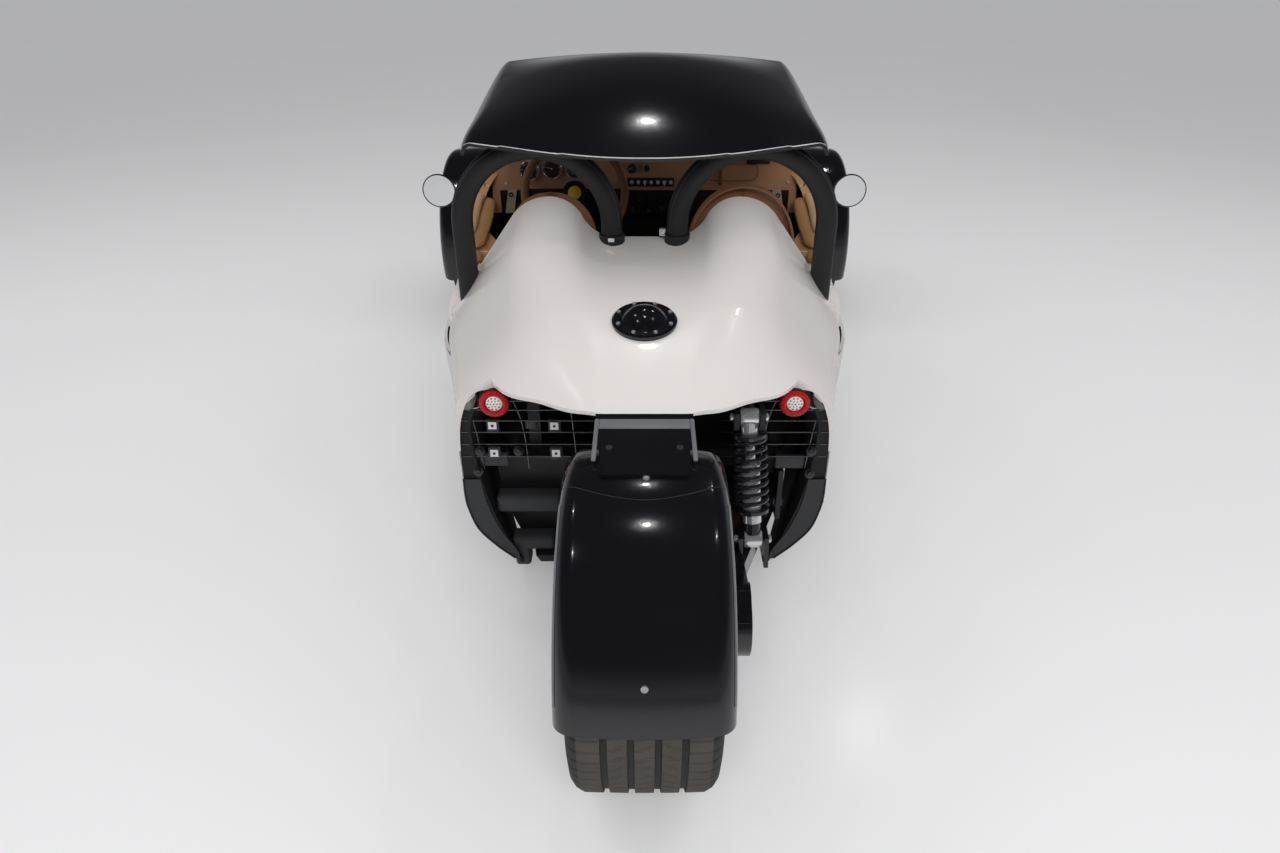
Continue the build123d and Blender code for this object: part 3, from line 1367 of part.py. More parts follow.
with BuildPart() as front_rim:
    add(rim(front_centre, FRONT_HALF_RIM, FRONT_SPOKE_X, FRONT_HUB_FROM, FRONT_HUB_TO))
write(front_rim, "front_rim_right")
mirrored(front_rim, "front_rim_left")

with BuildPart() as front_disc:
    add(brake_disc(front_centre, DISC_X, DISC_R))
write(front_disc, "front_disc_right")
mirrored(front_disc, "front_disc_left")

with BuildPart() as rear_tyre:
    add(tyre(rear_centre, REAR_TYRE_R, REAR_TYRE_W))
write(rear_tyre, "rear_tyre")

rear_rim_part = rim(Vector(0, rear_centre.Y, rear_centre.Z), REAR_HALF_RIM, -REAR_SPOKE_X - SPOKE_T, -REAR_DISC_X, -REAR_HUB_FROM)
with BuildPart() as rear_rim:
    mirror(rear_rim_part, about=Plane.YZ)
write(rear_rim, "rear_rim")

with BuildPart() as rear_disc:
    add(brake_disc(rear_centre, REAR_DISC_X, DISC_R))
write(rear_disc, "rear_disc")

# Rear swingarm, shock and bridge
ARM_OUTER = [(212, -30), (222, 169), (326, 446), (326, 505)]
ARM_INNER = [(-98, 505), (-98, 438), (60, 425), (SWINGARM_X, 330), (SWINGARM_X, -30)]
ARM_HUB_R = 74
ARM_HALF_H = 28
SPINDLE_END = -112
SHOCK_BOSS_R = 16
SHOCK_EYE_R = 20
COIL_OD = 39
ROD_R = 9
rear_hub_side = place(SWINGARM_X, 0, REAR_TYRE_R)

with BuildPart() as swingarm:
    with BuildSketch(Plane.XY.offset(0)):
        with BuildLine():
            Polyline(*[(x, ahead(y)) for x, y in ARM_OUTER + ARM_INNER], close=True)
        make_face()
        with Locations(((SWINGARM_X + 212) / 2, ahead(-45))):
            Rectangle(212 - SWINGARM_X, 2 * ARM_HUB_R)
    extrude(amount=BODY_TOP)
    with BuildSketch(side_view(-BODY_REACH)):
        with BuildLine():
            Polyline(
                (ahead(-60), REAR_TYRE_R - 44),
                (ahead(SHOCK_LOW[1] - 60), PIVOT_Z - ARM_HALF_H),
                (ahead(PIVOT_AHEAD), PIVOT_Z - 34),
                (ahead(PIVOT_AHEAD), PIVOT_Z + 34),
                (ahead(SHOCK_LOW[1] - 60), PIVOT_Z + ARM_HALF_H),
                (ahead(0), REAR_TYRE_R + ARM_HUB_R - 10),
                (ahead(-60), REAR_TYRE_R + 44),
                close=True,
            )
        make_face()
        with Locations((ahead(0), REAR_TYRE_R)):
            Circle(ARM_HUB_R)
        with Locations((ahead(PIVOT_AHEAD), PIVOT_Z)):
            Circle(34)
    extrude(amount=2 * BODY_REACH, mode=Mode.INTERSECT)
    with BuildSketch(side_view(-98)):
        with Locations((ahead(PIVOT_AHEAD), PIVOT_Z)):
            Circle(PIVOT_TUBE_R)
    extrude(amount=PIVOT_EAR_X + EAR_T / 2 + 98)
    with BuildSketch(side_view(SPINDLE_END)):
        with Locations((ahead(0), REAR_TYRE_R)):
            Circle(SPINDLE_R)
    extrude(amount=SWINGARM_X - SPINDLE_END + 10)
    with BuildSketch(side_view(REAR_DISC_X + DISC_T + MOVING_GAP)):
        with Locations((ahead(0), REAR_TYRE_R)):
            Circle(60)
    extrude(amount=SWINGARM_X - REAR_DISC_X - DISC_T - MOVING_GAP + 10)
    with BuildSketch(side_view(SHOCK_LOW[0] - 34)):
        with Locations((ahead(SHOCK_LOW[1]), SHOCK_LOW[2])):
            Circle(11)
    extrude(amount=68)
    for x in (SHOCK_LOW[0] - 34, SHOCK_LOW[0] + 24):
        with BuildSketch(side_view(x)):
            with BuildLine():
                Polyline(
                    (ahead(SHOCK_LOW[1]) - 22, SHOCK_LOW[2] + 16),
                    (ahead(SHOCK_LOW[1]) - 40, PIVOT_Z),
                    (ahead(SHOCK_LOW[1]) + 55, PIVOT_Z),
                    (ahead(SHOCK_LOW[1]) + 22, SHOCK_LOW[2] + 16),
                    close=True,
                )
            make_face()
        extrude(amount=10)
write(swingarm, "swingarm")

shock_low = place(*SHOCK_LOW)
shock_high = place(*SHOCK_HIGH)
shock_line = shock_high - shock_low
with BuildPart() as rear_shock:
    for piece in (
        rod(shock_low, shock_high, ROD_R + 3),
        rod(shock_low + shock_line * 0.1, shock_low + shock_line * 0.3, 24),
        rod(shock_low + shock_line * 0.2, shock_low + shock_line * 0.86, COIL_OD),
        rod(shock_low + shock_line * 0.84, shock_low + shock_line * 0.9, COIL_OD - 6),
    ):
        add(piece)
    for end in (SHOCK_LOW, SHOCK_HIGH):
        with BuildSketch(side_view(end[0] - 20)):
            with Locations((ahead(end[1]), end[2])):
                Circle(SHOCK_EYE_R)
        extrude(amount=40)
    for end, bore in ((SHOCK_LOW, 11), (SHOCK_HIGH, 8)):
        with BuildSketch(side_view(end[0] - 40)):
            with Locations((ahead(end[1]), end[2])):
                Circle(bore + TOUCH)
        extrude(amount=80, mode=Mode.SUBTRACT)
write(rear_shock, "rear_shock")

BRIDGE_BACK = -26
BRIDGE_TOP = 701
BRIDGE_UNDER = 668
BRIDGE_BACK_HALF = 79
BRIDGE_FRONT_HALF = 99
BRIDGE_FRONT = REAR_CROSS - 15
BRIDGE_STEP = DECK_LIP - 8

with BuildPart() as tail_bridge:
    with BuildSketch(Plane.XY.offset(600)):
        with BuildLine():
            Polyline(
                (-BRIDGE_BACK_HALF, ahead(BRIDGE_BACK)),
                (BRIDGE_BACK_HALF, ahead(BRIDGE_BACK)),
                (BRIDGE_FRONT_HALF, ahead(BRIDGE_STEP)),
                (BRIDGE_FRONT_HALF, ahead(BRIDGE_FRONT)),
                (-BRIDGE_FRONT_HALF, ahead(BRIDGE_FRONT)),
                (-BRIDGE_FRONT_HALF, ahead(BRIDGE_STEP)),
                close=True,
            )
        make_face()
    extrude(amount=BRIDGE_TOP - 600)
    add(slab(-BODY_REACH, BODY_REACH, BRIDGE_STEP, BRIDGE_FRONT, BRIDGE_UNDER, BODY_TOP), mode=Mode.SUBTRACT)
    with BuildSketch(side_view(-BODY_REACH)):
        with Locations((ahead(0), REAR_TYRE_R)):
            Circle(REAR_FENDER_R)
    extrude(amount=2 * BODY_REACH, mode=Mode.SUBTRACT)
write(tail_bridge, "tail_bridge")

# Tail mesh, plate clips and lamps
MESH_Y = 418
WIRE = 3.5
MESH_LEVELS = [602, 578, 547, 512, 477, 440, 405]
MESH_HALF = 402
MESH_INNER = BRIDGE_FRONT_HALF + TOUCH
MESH_SPANS = [(-MESH_HALF, -MESH_INNER), (MESH_INNER, 186), (280, MESH_HALF)]
MESH_POSTS = {0: (-380, -309, -210, -130), 1: (110, 150), 2: (300, 340, 380)}
CLIP_X = -283
CLIP_SPACING = (146, 70)
CLIP_Z = 512
CLIP_SIZE = 16
CLIP_HOLE_R = 3.2
CLIP_T = 9

mesh_parts = []
for span, (x0, x1) in enumerate(MESH_SPANS):
    with BuildPart() as panel:
        with BuildSketch(station(MESH_Y)):
            for level in MESH_LEVELS:
                with Locations(((x0 + x1) / 2, level)):
                    Rectangle(x1 - x0, WIRE)
            for x in MESH_POSTS[span]:
                with Locations((x, (MESH_LEVELS[0] + MESH_LEVELS[-1]) / 2)):
                    Rectangle(WIRE, MESH_LEVELS[0] - MESH_LEVELS[-1] + 40)
        extrude(amount=-WIRE)
        add(INSIDE_DASH, mode=Mode.INTERSECT)
    mesh_parts.append(panel.part)

with BuildPart() as rear_mesh:
    for panel_part in mesh_parts:
        add(panel_part)
    with BuildSketch(station(MESH_Y - 2)):
        with Locations((CLIP_X, CLIP_Z)):
            with GridLocations(*CLIP_SPACING, 2, 2):
                Rectangle(CLIP_SIZE, CLIP_SIZE)
                Circle(CLIP_HOLE_R, mode=Mode.SUBTRACT)
    extrude(amount=-CLIP_T)
    with BuildSketch(station(MESH_Y - 20)):
        with Locations((CLIP_X, CLIP_Z)):
            with GridLocations(*CLIP_SPACING, 2, 2):
                Circle(CLIP_HOLE_R)
    extrude(amount=-BODY_REACH / 10, mode=Mode.SUBTRACT)
write(rear_mesh, "rear_mesh")

LAMP_X = 342
LAMP_Z = 601
LAMP_R = 36
LAMP_FACE = 398
LAMP_LENGTH = 34
with BuildPart() as tail_lamps:
    with BuildSketch(station(LAMP_FACE)):
        with Locations((LAMP_X, LAMP_Z), (-LAMP_X, LAMP_Z)):
            Circle(LAMP_R)
    extrude(amount=-LAMP_LENGTH)
    add(rear_mesh.part, mode=Mode.SUBTRACT)
    add(side_panels.part, mode=Mode.SUBTRACT)
write(tail_lamps, "tail_lamps")

# Exhaust and mirrors
MUFFLER_R = 34
MUFFLER_OUTER_X = -352
MUFFLER_LENGTH = 200
MUFFLER_Z = REAR_RAIL_Z - RAIL / 2 - MUFFLER_R
with BuildPart() as muffler:
    with BuildSketch(side_view(MUFFLER_OUTER_X)):
        with Locations((ahead(PIVOT_AHEAD + 60), MUFFLER_Z)):
            Circle(MUFFLER_R)
    extrude(amount=MUFFLER_LENGTH)
    with BuildSketch(station(PIVOT_AHEAD + 60)):
        with Locations((-190, MUFFLER_Z)):
            Circle(22)
    extrude(amount=-(BULKHEAD - PIVOT_AHEAD - 60))
write(muffler, "exhaust_muffler")

MIRROR_PLACE = (650, 1390, 823)
MIRROR_R = 52
MIRROR_DEPTH = 34
with BuildPart() as mirror_right:
    with BuildSketch(station(MIRROR_PLACE[1])):
        with Locations((MIRROR_PLACE[0], MIRROR_PLACE[2])):
            Circle(MIRROR_R)
    extrude(amount=-MIRROR_DEPTH, taper=22)
    add(
        rod(
            place(MIRROR_PLACE[0] - 20, MIRROR_PLACE[1] + 22, MIRROR_PLACE[2] - 20),
            place(HINGE_X - 24, MIRROR_PLACE[1] + 30, DOOR_TOP_Z - 40),
            8,
        )
    )
    add(OUTSIDE, mode=Mode.SUBTRACT)
write(mirror_right, "mirror_right")
mirrored(mirror_right, "mirror_left")
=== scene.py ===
"""Finishes and fine pieces of a low three wheeled car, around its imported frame.

Metres, +Z up, +Y ahead, +X to the car's right. Distances called ahead are from the rear axle.
"""

import math

import bmesh
import bpy
from mathutils import Matrix, Vector
from mathutils.bvhtree import BVHTree


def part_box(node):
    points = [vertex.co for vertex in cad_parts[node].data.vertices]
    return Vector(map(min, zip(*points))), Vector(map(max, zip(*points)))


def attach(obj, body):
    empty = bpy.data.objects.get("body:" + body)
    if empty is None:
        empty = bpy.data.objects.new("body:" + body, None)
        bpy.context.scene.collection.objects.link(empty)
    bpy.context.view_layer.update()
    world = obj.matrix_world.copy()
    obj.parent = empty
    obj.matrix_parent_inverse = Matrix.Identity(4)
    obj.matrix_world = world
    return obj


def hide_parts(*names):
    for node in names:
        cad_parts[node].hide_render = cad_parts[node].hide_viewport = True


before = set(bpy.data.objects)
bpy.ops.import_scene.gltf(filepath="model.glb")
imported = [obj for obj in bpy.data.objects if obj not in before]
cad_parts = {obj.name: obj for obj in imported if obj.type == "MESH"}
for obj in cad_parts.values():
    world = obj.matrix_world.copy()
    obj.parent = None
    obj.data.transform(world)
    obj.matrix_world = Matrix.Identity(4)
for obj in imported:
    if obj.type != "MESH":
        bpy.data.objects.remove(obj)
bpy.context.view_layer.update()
scene = bpy.context.scene

# Places, directions and tolerances, in metres and radians
REAR_AXLE_Y = (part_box("rear_tyre")[0].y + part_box("rear_tyre")[1].y) / 2
SIDES = (("left", -1), ("right", 1))
ACROSS = Vector((1, 0, 0))
BACK = Vector((0, -1, 0))
UP = Vector((0, 0, 1))
SHARP = math.radians(32)
TURN = 2 * math.pi
WELD = 1e-5

# Sizes shared with the solids
TUBE_R = 0.0285
HOOP_X = 0.2865
HOOP_R = 0.199
HOOP_AHEAD = 0.925
HOOP_SPRING_Z = 0.86
RIM_R = 0.228
COLUMN_TILT = math.radians(22)
FILLER_TILT = math.radians(9)


def at(x, ahead, z):
    """A point given across, ahead of the rear axle, and up."""
    return Vector((x, REAR_AXLE_Y + ahead, z))


def middle(node):
    """The centre of a node's box."""
    low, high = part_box(node)
    return (low + high) / 2


# Shader node groups that several finishes share
def new_group(name, inputs, outputs):
    """An empty node group with its sockets, and its two end nodes."""
    group = bpy.data.node_groups.new(name, "ShaderNodeTree")
    for label, kind, value in inputs:
        socket = group.interface.new_socket(label, in_out="INPUT", socket_type=kind)
        socket.default_value = value
    for label, kind in outputs:
        group.interface.new_socket(label, in_out="OUTPUT", socket_type=kind)
    return group, group.nodes.new("NodeGroupInput"), group.nodes.new("NodeGroupOutput")


def noise(tree, vector, scale, detail):
    """A noise texture read at a vector, its scale a number or a socket."""
    node = tree.nodes.new("ShaderNodeTexNoise")
    node.inputs["Detail"].default_value = detail
    tree.links.new(vector, node.inputs["Vector"])
    if isinstance(scale, (int, float)):
        node.inputs["Scale"].default_value = scale
    else:
        tree.links.new(scale, node.inputs["Scale"])
    return node.outputs["Fac"]


def arithmetic(tree, operation, first, second):
    """A Math node on two sockets or numbers."""
    node = tree.nodes.new("ShaderNodeMath")
    node.operation = operation
    for slot, value in enumerate((first, second)):
        if isinstance(value, (int, float)):
            node.inputs[slot].default_value = value
        else:
            tree.links.new(value, node.inputs[slot])
    return node.outputs[0]


def make_uneven_group():
    """Slow changes of tone and gloss over a surface."""
    group, start, end = new_group(
        "uneven_finish",
        [
            ("Color", "NodeSocketColor", (0.8, 0.8, 0.8, 1)),
            ("Scale", "NodeSocketFloat", 6.0),
            ("Tone Spread", "NodeSocketFloat", 0.05),
            ("Roughness", "NodeSocketFloat", 0.3),
            ("Gloss Spread", "NodeSocketFloat", 0.1),
        ],
        [("Color", "NodeSocketColor"), ("Roughness", "NodeSocketFloat")],
    )
    place = group.nodes.new("ShaderNodeTexCoord")
    cloud = noise(group, place.outputs["Object"], start.outputs["Scale"], 4)
    centred = arithmetic(group, "SUBTRACT", cloud, 0.5)
    tone = arithmetic(group, "MULTIPLY", centred, start.outputs["Tone Spread"])
    tone = arithmetic(group, "ADD", arithmetic(group, "MULTIPLY", tone, 2), 1)
    scaled = group.nodes.new("ShaderNodeVectorMath")
    scaled.operation = "SCALE"
    group.links.new(start.outputs["Color"], scaled.inputs[0])
    group.links.new(tone, scaled.inputs["Scale"])
    gloss = arithmetic(group, "MULTIPLY", centred, start.outputs["Gloss Spread"])
    gloss = arithmetic(group, "ADD", gloss, start.outputs["Roughness"])
    group.links.new(scaled.outputs[0], end.inputs["Color"])
    group.links.new(gloss, end.inputs["Roughness"])
    return group


def make_grain_group():
    """Pebbled hide: rounded cells over soft folds."""
    group, start, end = new_group(
        "hide_grain", [("Scale", "NodeSocketFloat", 350.0)], [("Height", "NodeSocketFloat")]
    )
    place = group.nodes.new("ShaderNodeTexCoord")
    cells = group.nodes.new("ShaderNodeTexVoronoi")
    cells.feature = "SMOOTH_F1"
    group.links.new(place.outputs["Object"], cells.inputs["Vector"])
    group.links.new(start.outputs["Scale"], cells.inputs["Scale"])
    rounded = arithmetic(group, "SUBTRACT", 1.0, cells.outputs["Distance"])
    folds = noise(group, place.outputs["Object"], 22, 5)
    height = arithmetic(group, "ADD", rounded, arithmetic(group, "MULTIPLY", folds, 1.5))
    group.links.new(height, end.inputs["Height"])
    return group


def make_weave_group():
    """Crossed threads, for webbing and carpet."""
    group, start, end = new_group(
        "cross_weave",
        [("Scale", "NodeSocketFloat", 400.0)],
        [("Height", "NodeSocketFloat")],
    )
    place = group.nodes.new("ShaderNodeTexCoord")
    waves = []
    for direction in ("X", "Z"):
        wave = group.nodes.new("ShaderNodeTexWave")
        wave.bands_direction = direction
        group.links.new(place.outputs["Object"], wave.inputs["Vector"])
        group.links.new(start.outputs["Scale"], wave.inputs["Scale"])
        waves.append(wave.outputs["Fac"])
    group.links.new(arithmetic(group, "MAXIMUM", *waves), end.inputs["Height"])
    return group


UNEVEN = make_uneven_group()
GRAIN = make_grain_group()
WEAVE = make_weave_group()


def add_group(tree, group, **values):
    """Places a node group in a material with its own values."""
    node = tree.nodes.new("ShaderNodeGroup")
    node.node_tree = group
    for label, value in values.items():
        node.inputs[label.replace("_", " ")].default_value = value
    return node


def add_bump(tree, shader, height, distance, strength=1.0):
    """Feeds a height to the shader's normal."""
    bump = tree.nodes.new("ShaderNodeBump")
    bump.inputs["Distance"].default_value = distance
    bump.inputs["Strength"].default_value = strength
    tree.links.new(height, bump.inputs["Height"])
    tree.links.new(bump.outputs["Normal"], shader.inputs["Normal"])


def add_fine_bump(mat, scale, distance, detail=3):
    """Fine irregular relief, as orange peel, powder coat or moulded plastic has."""
    tree = mat.node_tree
    place = tree.nodes.new("ShaderNodeTexCoord")
    fine = noise(tree, place.outputs["Object"], scale, detail)
    add_bump(tree, tree.nodes["Principled BSDF"], fine, distance)


def finish_material(name, colour, rough, spread=0.05, gloss_spread=0.06, scale=5.0, bump=None, **sockets):
    """A Principled material, uneven in tone and gloss; bump holds a fine bump's values, sockets the shader's."""
    mat = bpy.data.materials.new(name)
    mat.use_nodes = True
    tree = mat.node_tree
    shader = tree.nodes["Principled BSDF"]
    uneven = add_group(
        tree, UNEVEN, Color=(*colour, 1), Scale=scale, Tone_Spread=spread, Roughness=rough, Gloss_Spread=gloss_spread
    )
    tree.links.new(uneven.outputs["Color"], shader.inputs["Base Color"])
    tree.links.new(uneven.outputs["Roughness"], shader.inputs["Roughness"])
    for label, value in sockets.items():
        shader.inputs[label.replace("_", " ")].default_value = value
    if bump:
        add_fine_bump(mat, *bump)
    return mat


def leather(name, colour, rough=0.42, cell=350.0, relief=0.0005):
    """Hide with pebbled grain."""
    mat = finish_material(name, colour, rough, spread=0.16, gloss_spread=0.14, scale=9.0)
    tree = mat.node_tree
    grain = add_group(tree, GRAIN, Scale=cell)
    add_bump(tree, tree.nodes["Principled BSDF"], grain.outputs["Height"], relief, 0.6)
    return mat


def woven(name, colour, scale, relief, rough=0.8):
    """Webbing, thread or carpet."""
    mat = finish_material(name, colour, rough, spread=0.12, gloss_spread=0.05, scale=40.0)
    tree = mat.node_tree
    weave = add_group(tree, WEAVE, Scale=scale)
    add_bump(tree, tree.nodes["Principled BSDF"], weave.outputs["Height"], relief)
    return mat


def glass(name, colour, rough=0.02, solid=0.0):
    """Clear or tinted glass; solid is the share of it that lets no light through."""
    mat = bpy.data.materials.new(name)
    mat.use_nodes = True
    shader = mat.node_tree.nodes["Principled BSDF"]
    shader.inputs["Base Color"].default_value = (*colour, 1)
    shader.inputs["Transmission Weight"].default_value = 1.0 - solid
    shader.inputs["Roughness"].default_value = rough
    shader.inputs["IOR"].default_value = 1.45
    return mat


def glowing(name, colour, strength):
    """A lit emitter behind a lens."""
    mat = finish_material(name, colour, 0.4)
    shader = mat.node_tree.nodes["Principled BSDF"]
    shader.inputs["Emission Color"].default_value = (*colour, 1)
    shader.inputs["Emission Strength"].default_value = strength
    return mat


PAINT = finish_material(
    "cream_paint", (0.79, 0.745, 0.715), 0.22, 0.015, 0.05, 2.0, (900, 0.00003), Coat_Weight=1.0, Coat_Roughness=0.03
)
BLACK_GLOSS = finish_material(
    "black_gloss", (0.006, 0.006, 0.008), 0.14, 0.2, 0.06, 3.0, (700, 0.00003), Coat_Weight=0.6, Coat_Roughness=0.04
)
BLACK_SATIN = finish_material("black_powder_coat", (0.011, 0.011, 0.0125), 0.42, 0.2, 0.15, 8.0, (1400, 0.0001))
# Black moulding, made darker than its own black: painted shade, lowered to match the shaded inside of the tail.
BLACK_MATTE_AND_SHADE = finish_material("black_moulding_darkened_for_shade", (0.0105, 0.0105, 0.0115), 0.62, 0.25, 0.2, 12.0, (900, 0.00025))
FOAM = finish_material("hoop_foam", (0.013, 0.0132, 0.0142), 0.55, 0.25, 0.2, 14.0, (500, 0.0006, 5))
GREY_SKIRT = finish_material("grey_moulding", (0.035, 0.036, 0.038), 0.5, 0.3, 0.2, 6.0, (800, 0.0002))
FRAME_GREY = finish_material("dark_cast_coat", (0.036, 0.036, 0.04), 0.4, 0.3, 0.2, 10.0, (600, 0.0002))
STEEL = finish_material("machined_steel", (0.52, 0.52, 0.53), 0.28, 0.12, 0.25, 30.0, Metallic=1.0)
ALLOY = finish_material("cast_alloy", (0.5, 0.5, 0.51), 0.42, 0.12, 0.2, 14.0, (500, 0.0002), Metallic=1.0)
# Metallic below 1: part of the pale colour shows as diffuse brightness, a painted shine in place of the highlights
# chrome would mirror.
CHROME_WITH_PAINTED_SHINE = finish_material("chrome", (0.86, 0.86, 0.88), 0.12, 0.03, 0.08, 12.0, Metallic=0.8)
WIRE = finish_material("bright_wire", (0.34, 0.34, 0.35), 0.38, 0.15, 0.2, 30.0, Metallic=1.0)
WHEEL_DARK = finish_material("dark_wheel_alloy", (0.03, 0.03, 0.033), 0.3, 0.2, 0.15, 7.0, (700, 0.0001), Metallic=0.6)
IRON = finish_material("brake_iron", (0.33, 0.32, 0.31), 0.35, 0.2, 0.3, 20.0, Metallic=1.0)
TYRE = finish_material("tyre_rubber", (0.026, 0.025, 0.024), 0.68, 0.25, 0.15, 11.0, (350, 0.0004, 6))
TYRE_TREAD = finish_material("worn_tread", (0.075, 0.068, 0.06), 0.8, 0.3, 0.12, 20.0, (450, 0.0005, 6))
SPRING_BLACK = finish_material("spring_black", (0.012, 0.012, 0.014), 0.18, 0.2, 0.08, 9.0, Coat_Weight=0.5)
SEAT_HIDE = leather("saddle_hide", (0.24, 0.105, 0.05))
DASH_HIDE = leather("tan_dash_hide", (0.56, 0.29, 0.15), 0.5, 420.0, 0.0004)
PAD_HIDE = leather("golden_tan_hide", (0.46, 0.245, 0.1), 0.34, 300.0, 0.0004)
PAD_LIGHT = leather("light_tan_hide", (0.6, 0.37, 0.2), 0.34, 300.0, 0.0004)
RIM_HIDE = leather("wheel_hide", (0.22, 0.1, 0.05), 0.4, 500.0, 0.0003)
THREAD = woven("thread", (0.45, 0.26, 0.13), 2500.0, 0.0001)
WEBBING = woven("beige_webbing", (0.55, 0.46, 0.33), 700.0, 0.0004)
CARPET = woven("black_carpet", (0.02, 0.02, 0.02), 900.0, 0.0015, 0.95)
SCREEN = glass("screen_glass", (0.93, 0.96, 0.95))
LENS = glass("clear_lens", (0.96, 0.97, 0.98), 0.03)
RED_LENS = glass("red_lens", (0.72, 0.01, 0.015), 0.08, 0.55)
RED_BLOCK = glowing("red_blocks", (0.5, 0.01, 0.012), 0.03)
LED = glowing("led_face", (0.8, 0.76, 0.72), 0.08)
MIRROR = finish_material("mirror_face", (0.9, 0.91, 0.91), 0.02, 0.01, 0.0, 3.0, Metallic=1.0)
DIAL = finish_material("dial_face", (0.03, 0.03, 0.032), 0.5, 0.2, 0.1, 60.0)
DIAL_MARK = finish_material("dial_marks", (0.75, 0.75, 0.72), 0.5, 0.05, 0.1, 60.0)
BADGE_PLAIN = finish_material("horn_button", (0.72, 0.42, 0.03), 0.25, 0.05, 0.1, 40.0, Coat_Weight=0.5)
SILVER_DULL = finish_material("worn_plate", (0.16, 0.16, 0.165), 0.5, 0.2, 0.2, 60.0, Metallic=1.0)
BRIDGE_GREY = finish_material("grey_rail_coat", (0.16, 0.165, 0.175), 0.3, 0.15, 0.15, 14.0, Coat_Weight=0.4)
# Mostly diffuse: the pale colour shows as a painted shine in place of the highlights bright plate would mirror.
SILVER = finish_material("zinc_plate_with_painted_shine", (0.8, 0.8, 0.78), 0.4, 0.08, 0.2, 60.0, Metallic=0.3)

FINISHES = (
    (PAINT, "nose_shell bonnet side_panels rear_deck door_left door_right"),
    (BLACK_GLOSS, "roof_cap front_fender_left front_fender_right rear_fender tail_bridge swingarm"),
    (BLACK_GLOSS, "fuel_cap headlamps mirror_left mirror_right"),
    (BLACK_SATIN, "chassis_frame rear_frame front_frame front_suspension windshield_frame door_hinges front_grille"),
    (BLACK_MATTE_AND_SHADE, "instruments steering_column exhaust_muffler"),
    (GREY_SKIRT, "sills"),
    (FRAME_GREY, "radiator engine"),
    (FOAM, "roll_hoops"),
    (WIRE, "rear_mesh"),
    (STEEL, "drive_shafts rear_shock"),
    (ALLOY, "knuckle_left knuckle_right"),
    (IRON, "front_disc_left front_disc_right rear_disc"),
    (WHEEL_DARK, "front_rim_left front_rim_right rear_rim"),
    (TYRE, "front_tyre_left front_tyre_right rear_tyre"),
    (SEAT_HIDE, "seat_backs seat_bases"),
    (DASH_HIDE, "dashboard"),
    (PAD_HIDE, "door_trim_left door_trim_right"),
    (RIM_HIDE, "steering_wheel"),
    (SCREEN, "windshield_glass"),
    (LENS, "headlamp_lenses"),
    (RED_LENS, "tail_lamps"),
)


def dress_node(name, mat):
    """Gives a node its finish, with welded, smoothly shaded faces that keep their sharp edges."""
    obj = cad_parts[name]
    obj.data.materials.clear()
    obj.data.materials.append(mat)
    obj.data.shade_smooth()
    obj.modifiers.new("weld", "WELD").merge_threshold = WELD
    obj.modifiers.new("edges", "EDGE_SPLIT").split_angle = SHARP


for node_finish, node_names in FINISHES:
    for node_name in node_names.split():
        dress_node(node_name, node_finish)


def tint(mesh, mat, keep):
    """Gives another finish to those faces of a mesh that a test keeps."""
    mesh.materials.append(mat)
    number = len(mesh.materials) - 1
    for polygon in mesh.polygons:
        if keep(polygon.center, polygon.normal):
            polygon.material_index = number


# Piece makers
def finish_piece(bm, name, mat, body="chassis", merge=1e-6, flip=True):
    """Turns a bmesh into a piece that rides on a body."""
    if merge:
        bmesh.ops.remove_doubles(bm, verts=bm.verts, dist=merge)
    if flip:
        bmesh.ops.recalc_face_normals(bm, faces=bm.faces)
    mesh = bpy.data.meshes.new(name)
    bm.to_mesh(mesh)
    bm.free()
    mesh.shade_smooth()
    mesh.set_sharp_from_angle(angle=SHARP)
    obj = bpy.data.objects.new(name, mesh)
    scene.collection.objects.link(obj)
    mesh.materials.append(mat)
    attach(obj, body)
    return obj


def facing(centre, axis, across=None):
    """A matrix whose Z points along an axis from a centre, and whose X lies across."""
    z_axis = Vector(axis).normalized()
    hint = Vector(across) if across else (ACROSS if abs(z_axis.x) < 0.9 else -BACK)
    y_axis = z_axis.cross(hint).normalized()
    x_axis = y_axis.cross(z_axis)
    turn = Matrix((x_axis, y_axis, z_axis)).transposed().to_4x4()
    return Matrix.Translation(Vector(centre)) @ turn


def around(count, first=0.0):
    """Angles spaced evenly over a turn, the first one a share of a step on."""
    return [(i + first) / count * TURN for i in range(count)]


def spot(matrix, radius, angle, height=0.0):
    """A point about the matrix's Z axis, by its radius, angle and height."""
    return matrix @ Vector((radius * math.cos(angle), radius * math.sin(angle), height))


def mark_placed(bm):
    """Tags a bmesh's points, so that the next lathe leaves them where they are."""
    for vert in bm.verts:
        vert.tag = True


def lathe(bm, section, matrix, steps=48, closed=False):
    """Spins a section of (radius, height) points about the matrix's Z axis."""
    verts = [bm.verts.new((radius, 0, height)) for radius, height in section]
    edges = [bm.edges.new(pair) for pair in zip(verts, verts[1:])]
    if closed:
        edges.append(bm.edges.new((verts[-1], verts[0])))
    bmesh.ops.spin(bm, geom=verts + edges, cent=(0, 0, 0), axis=(0, 0, 1), angle=TURN, steps=steps, use_merge=True)
    for vert in bm.verts:
        if not vert.tag:
            vert.co = matrix @ vert.co
    mark_placed(bm)


def turned(name, section, matrix, steps, mat, body="chassis", closed=False):
    """A piece that is one lathed section."""
    bm = bmesh.new()
    lathe(bm, section, matrix, steps, closed)
    return finish_piece(bm, name, mat, body)


def rod(bm, matrix, low_r, high_r, depth):
    """A six-sided rod along the matrix's Z axis, about its origin."""
    bmesh.ops.create_cone(bm, cap_ends=True, segments=6, radius1=low_r, radius2=high_r, depth=depth, matrix=matrix)
    mark_placed(bm)


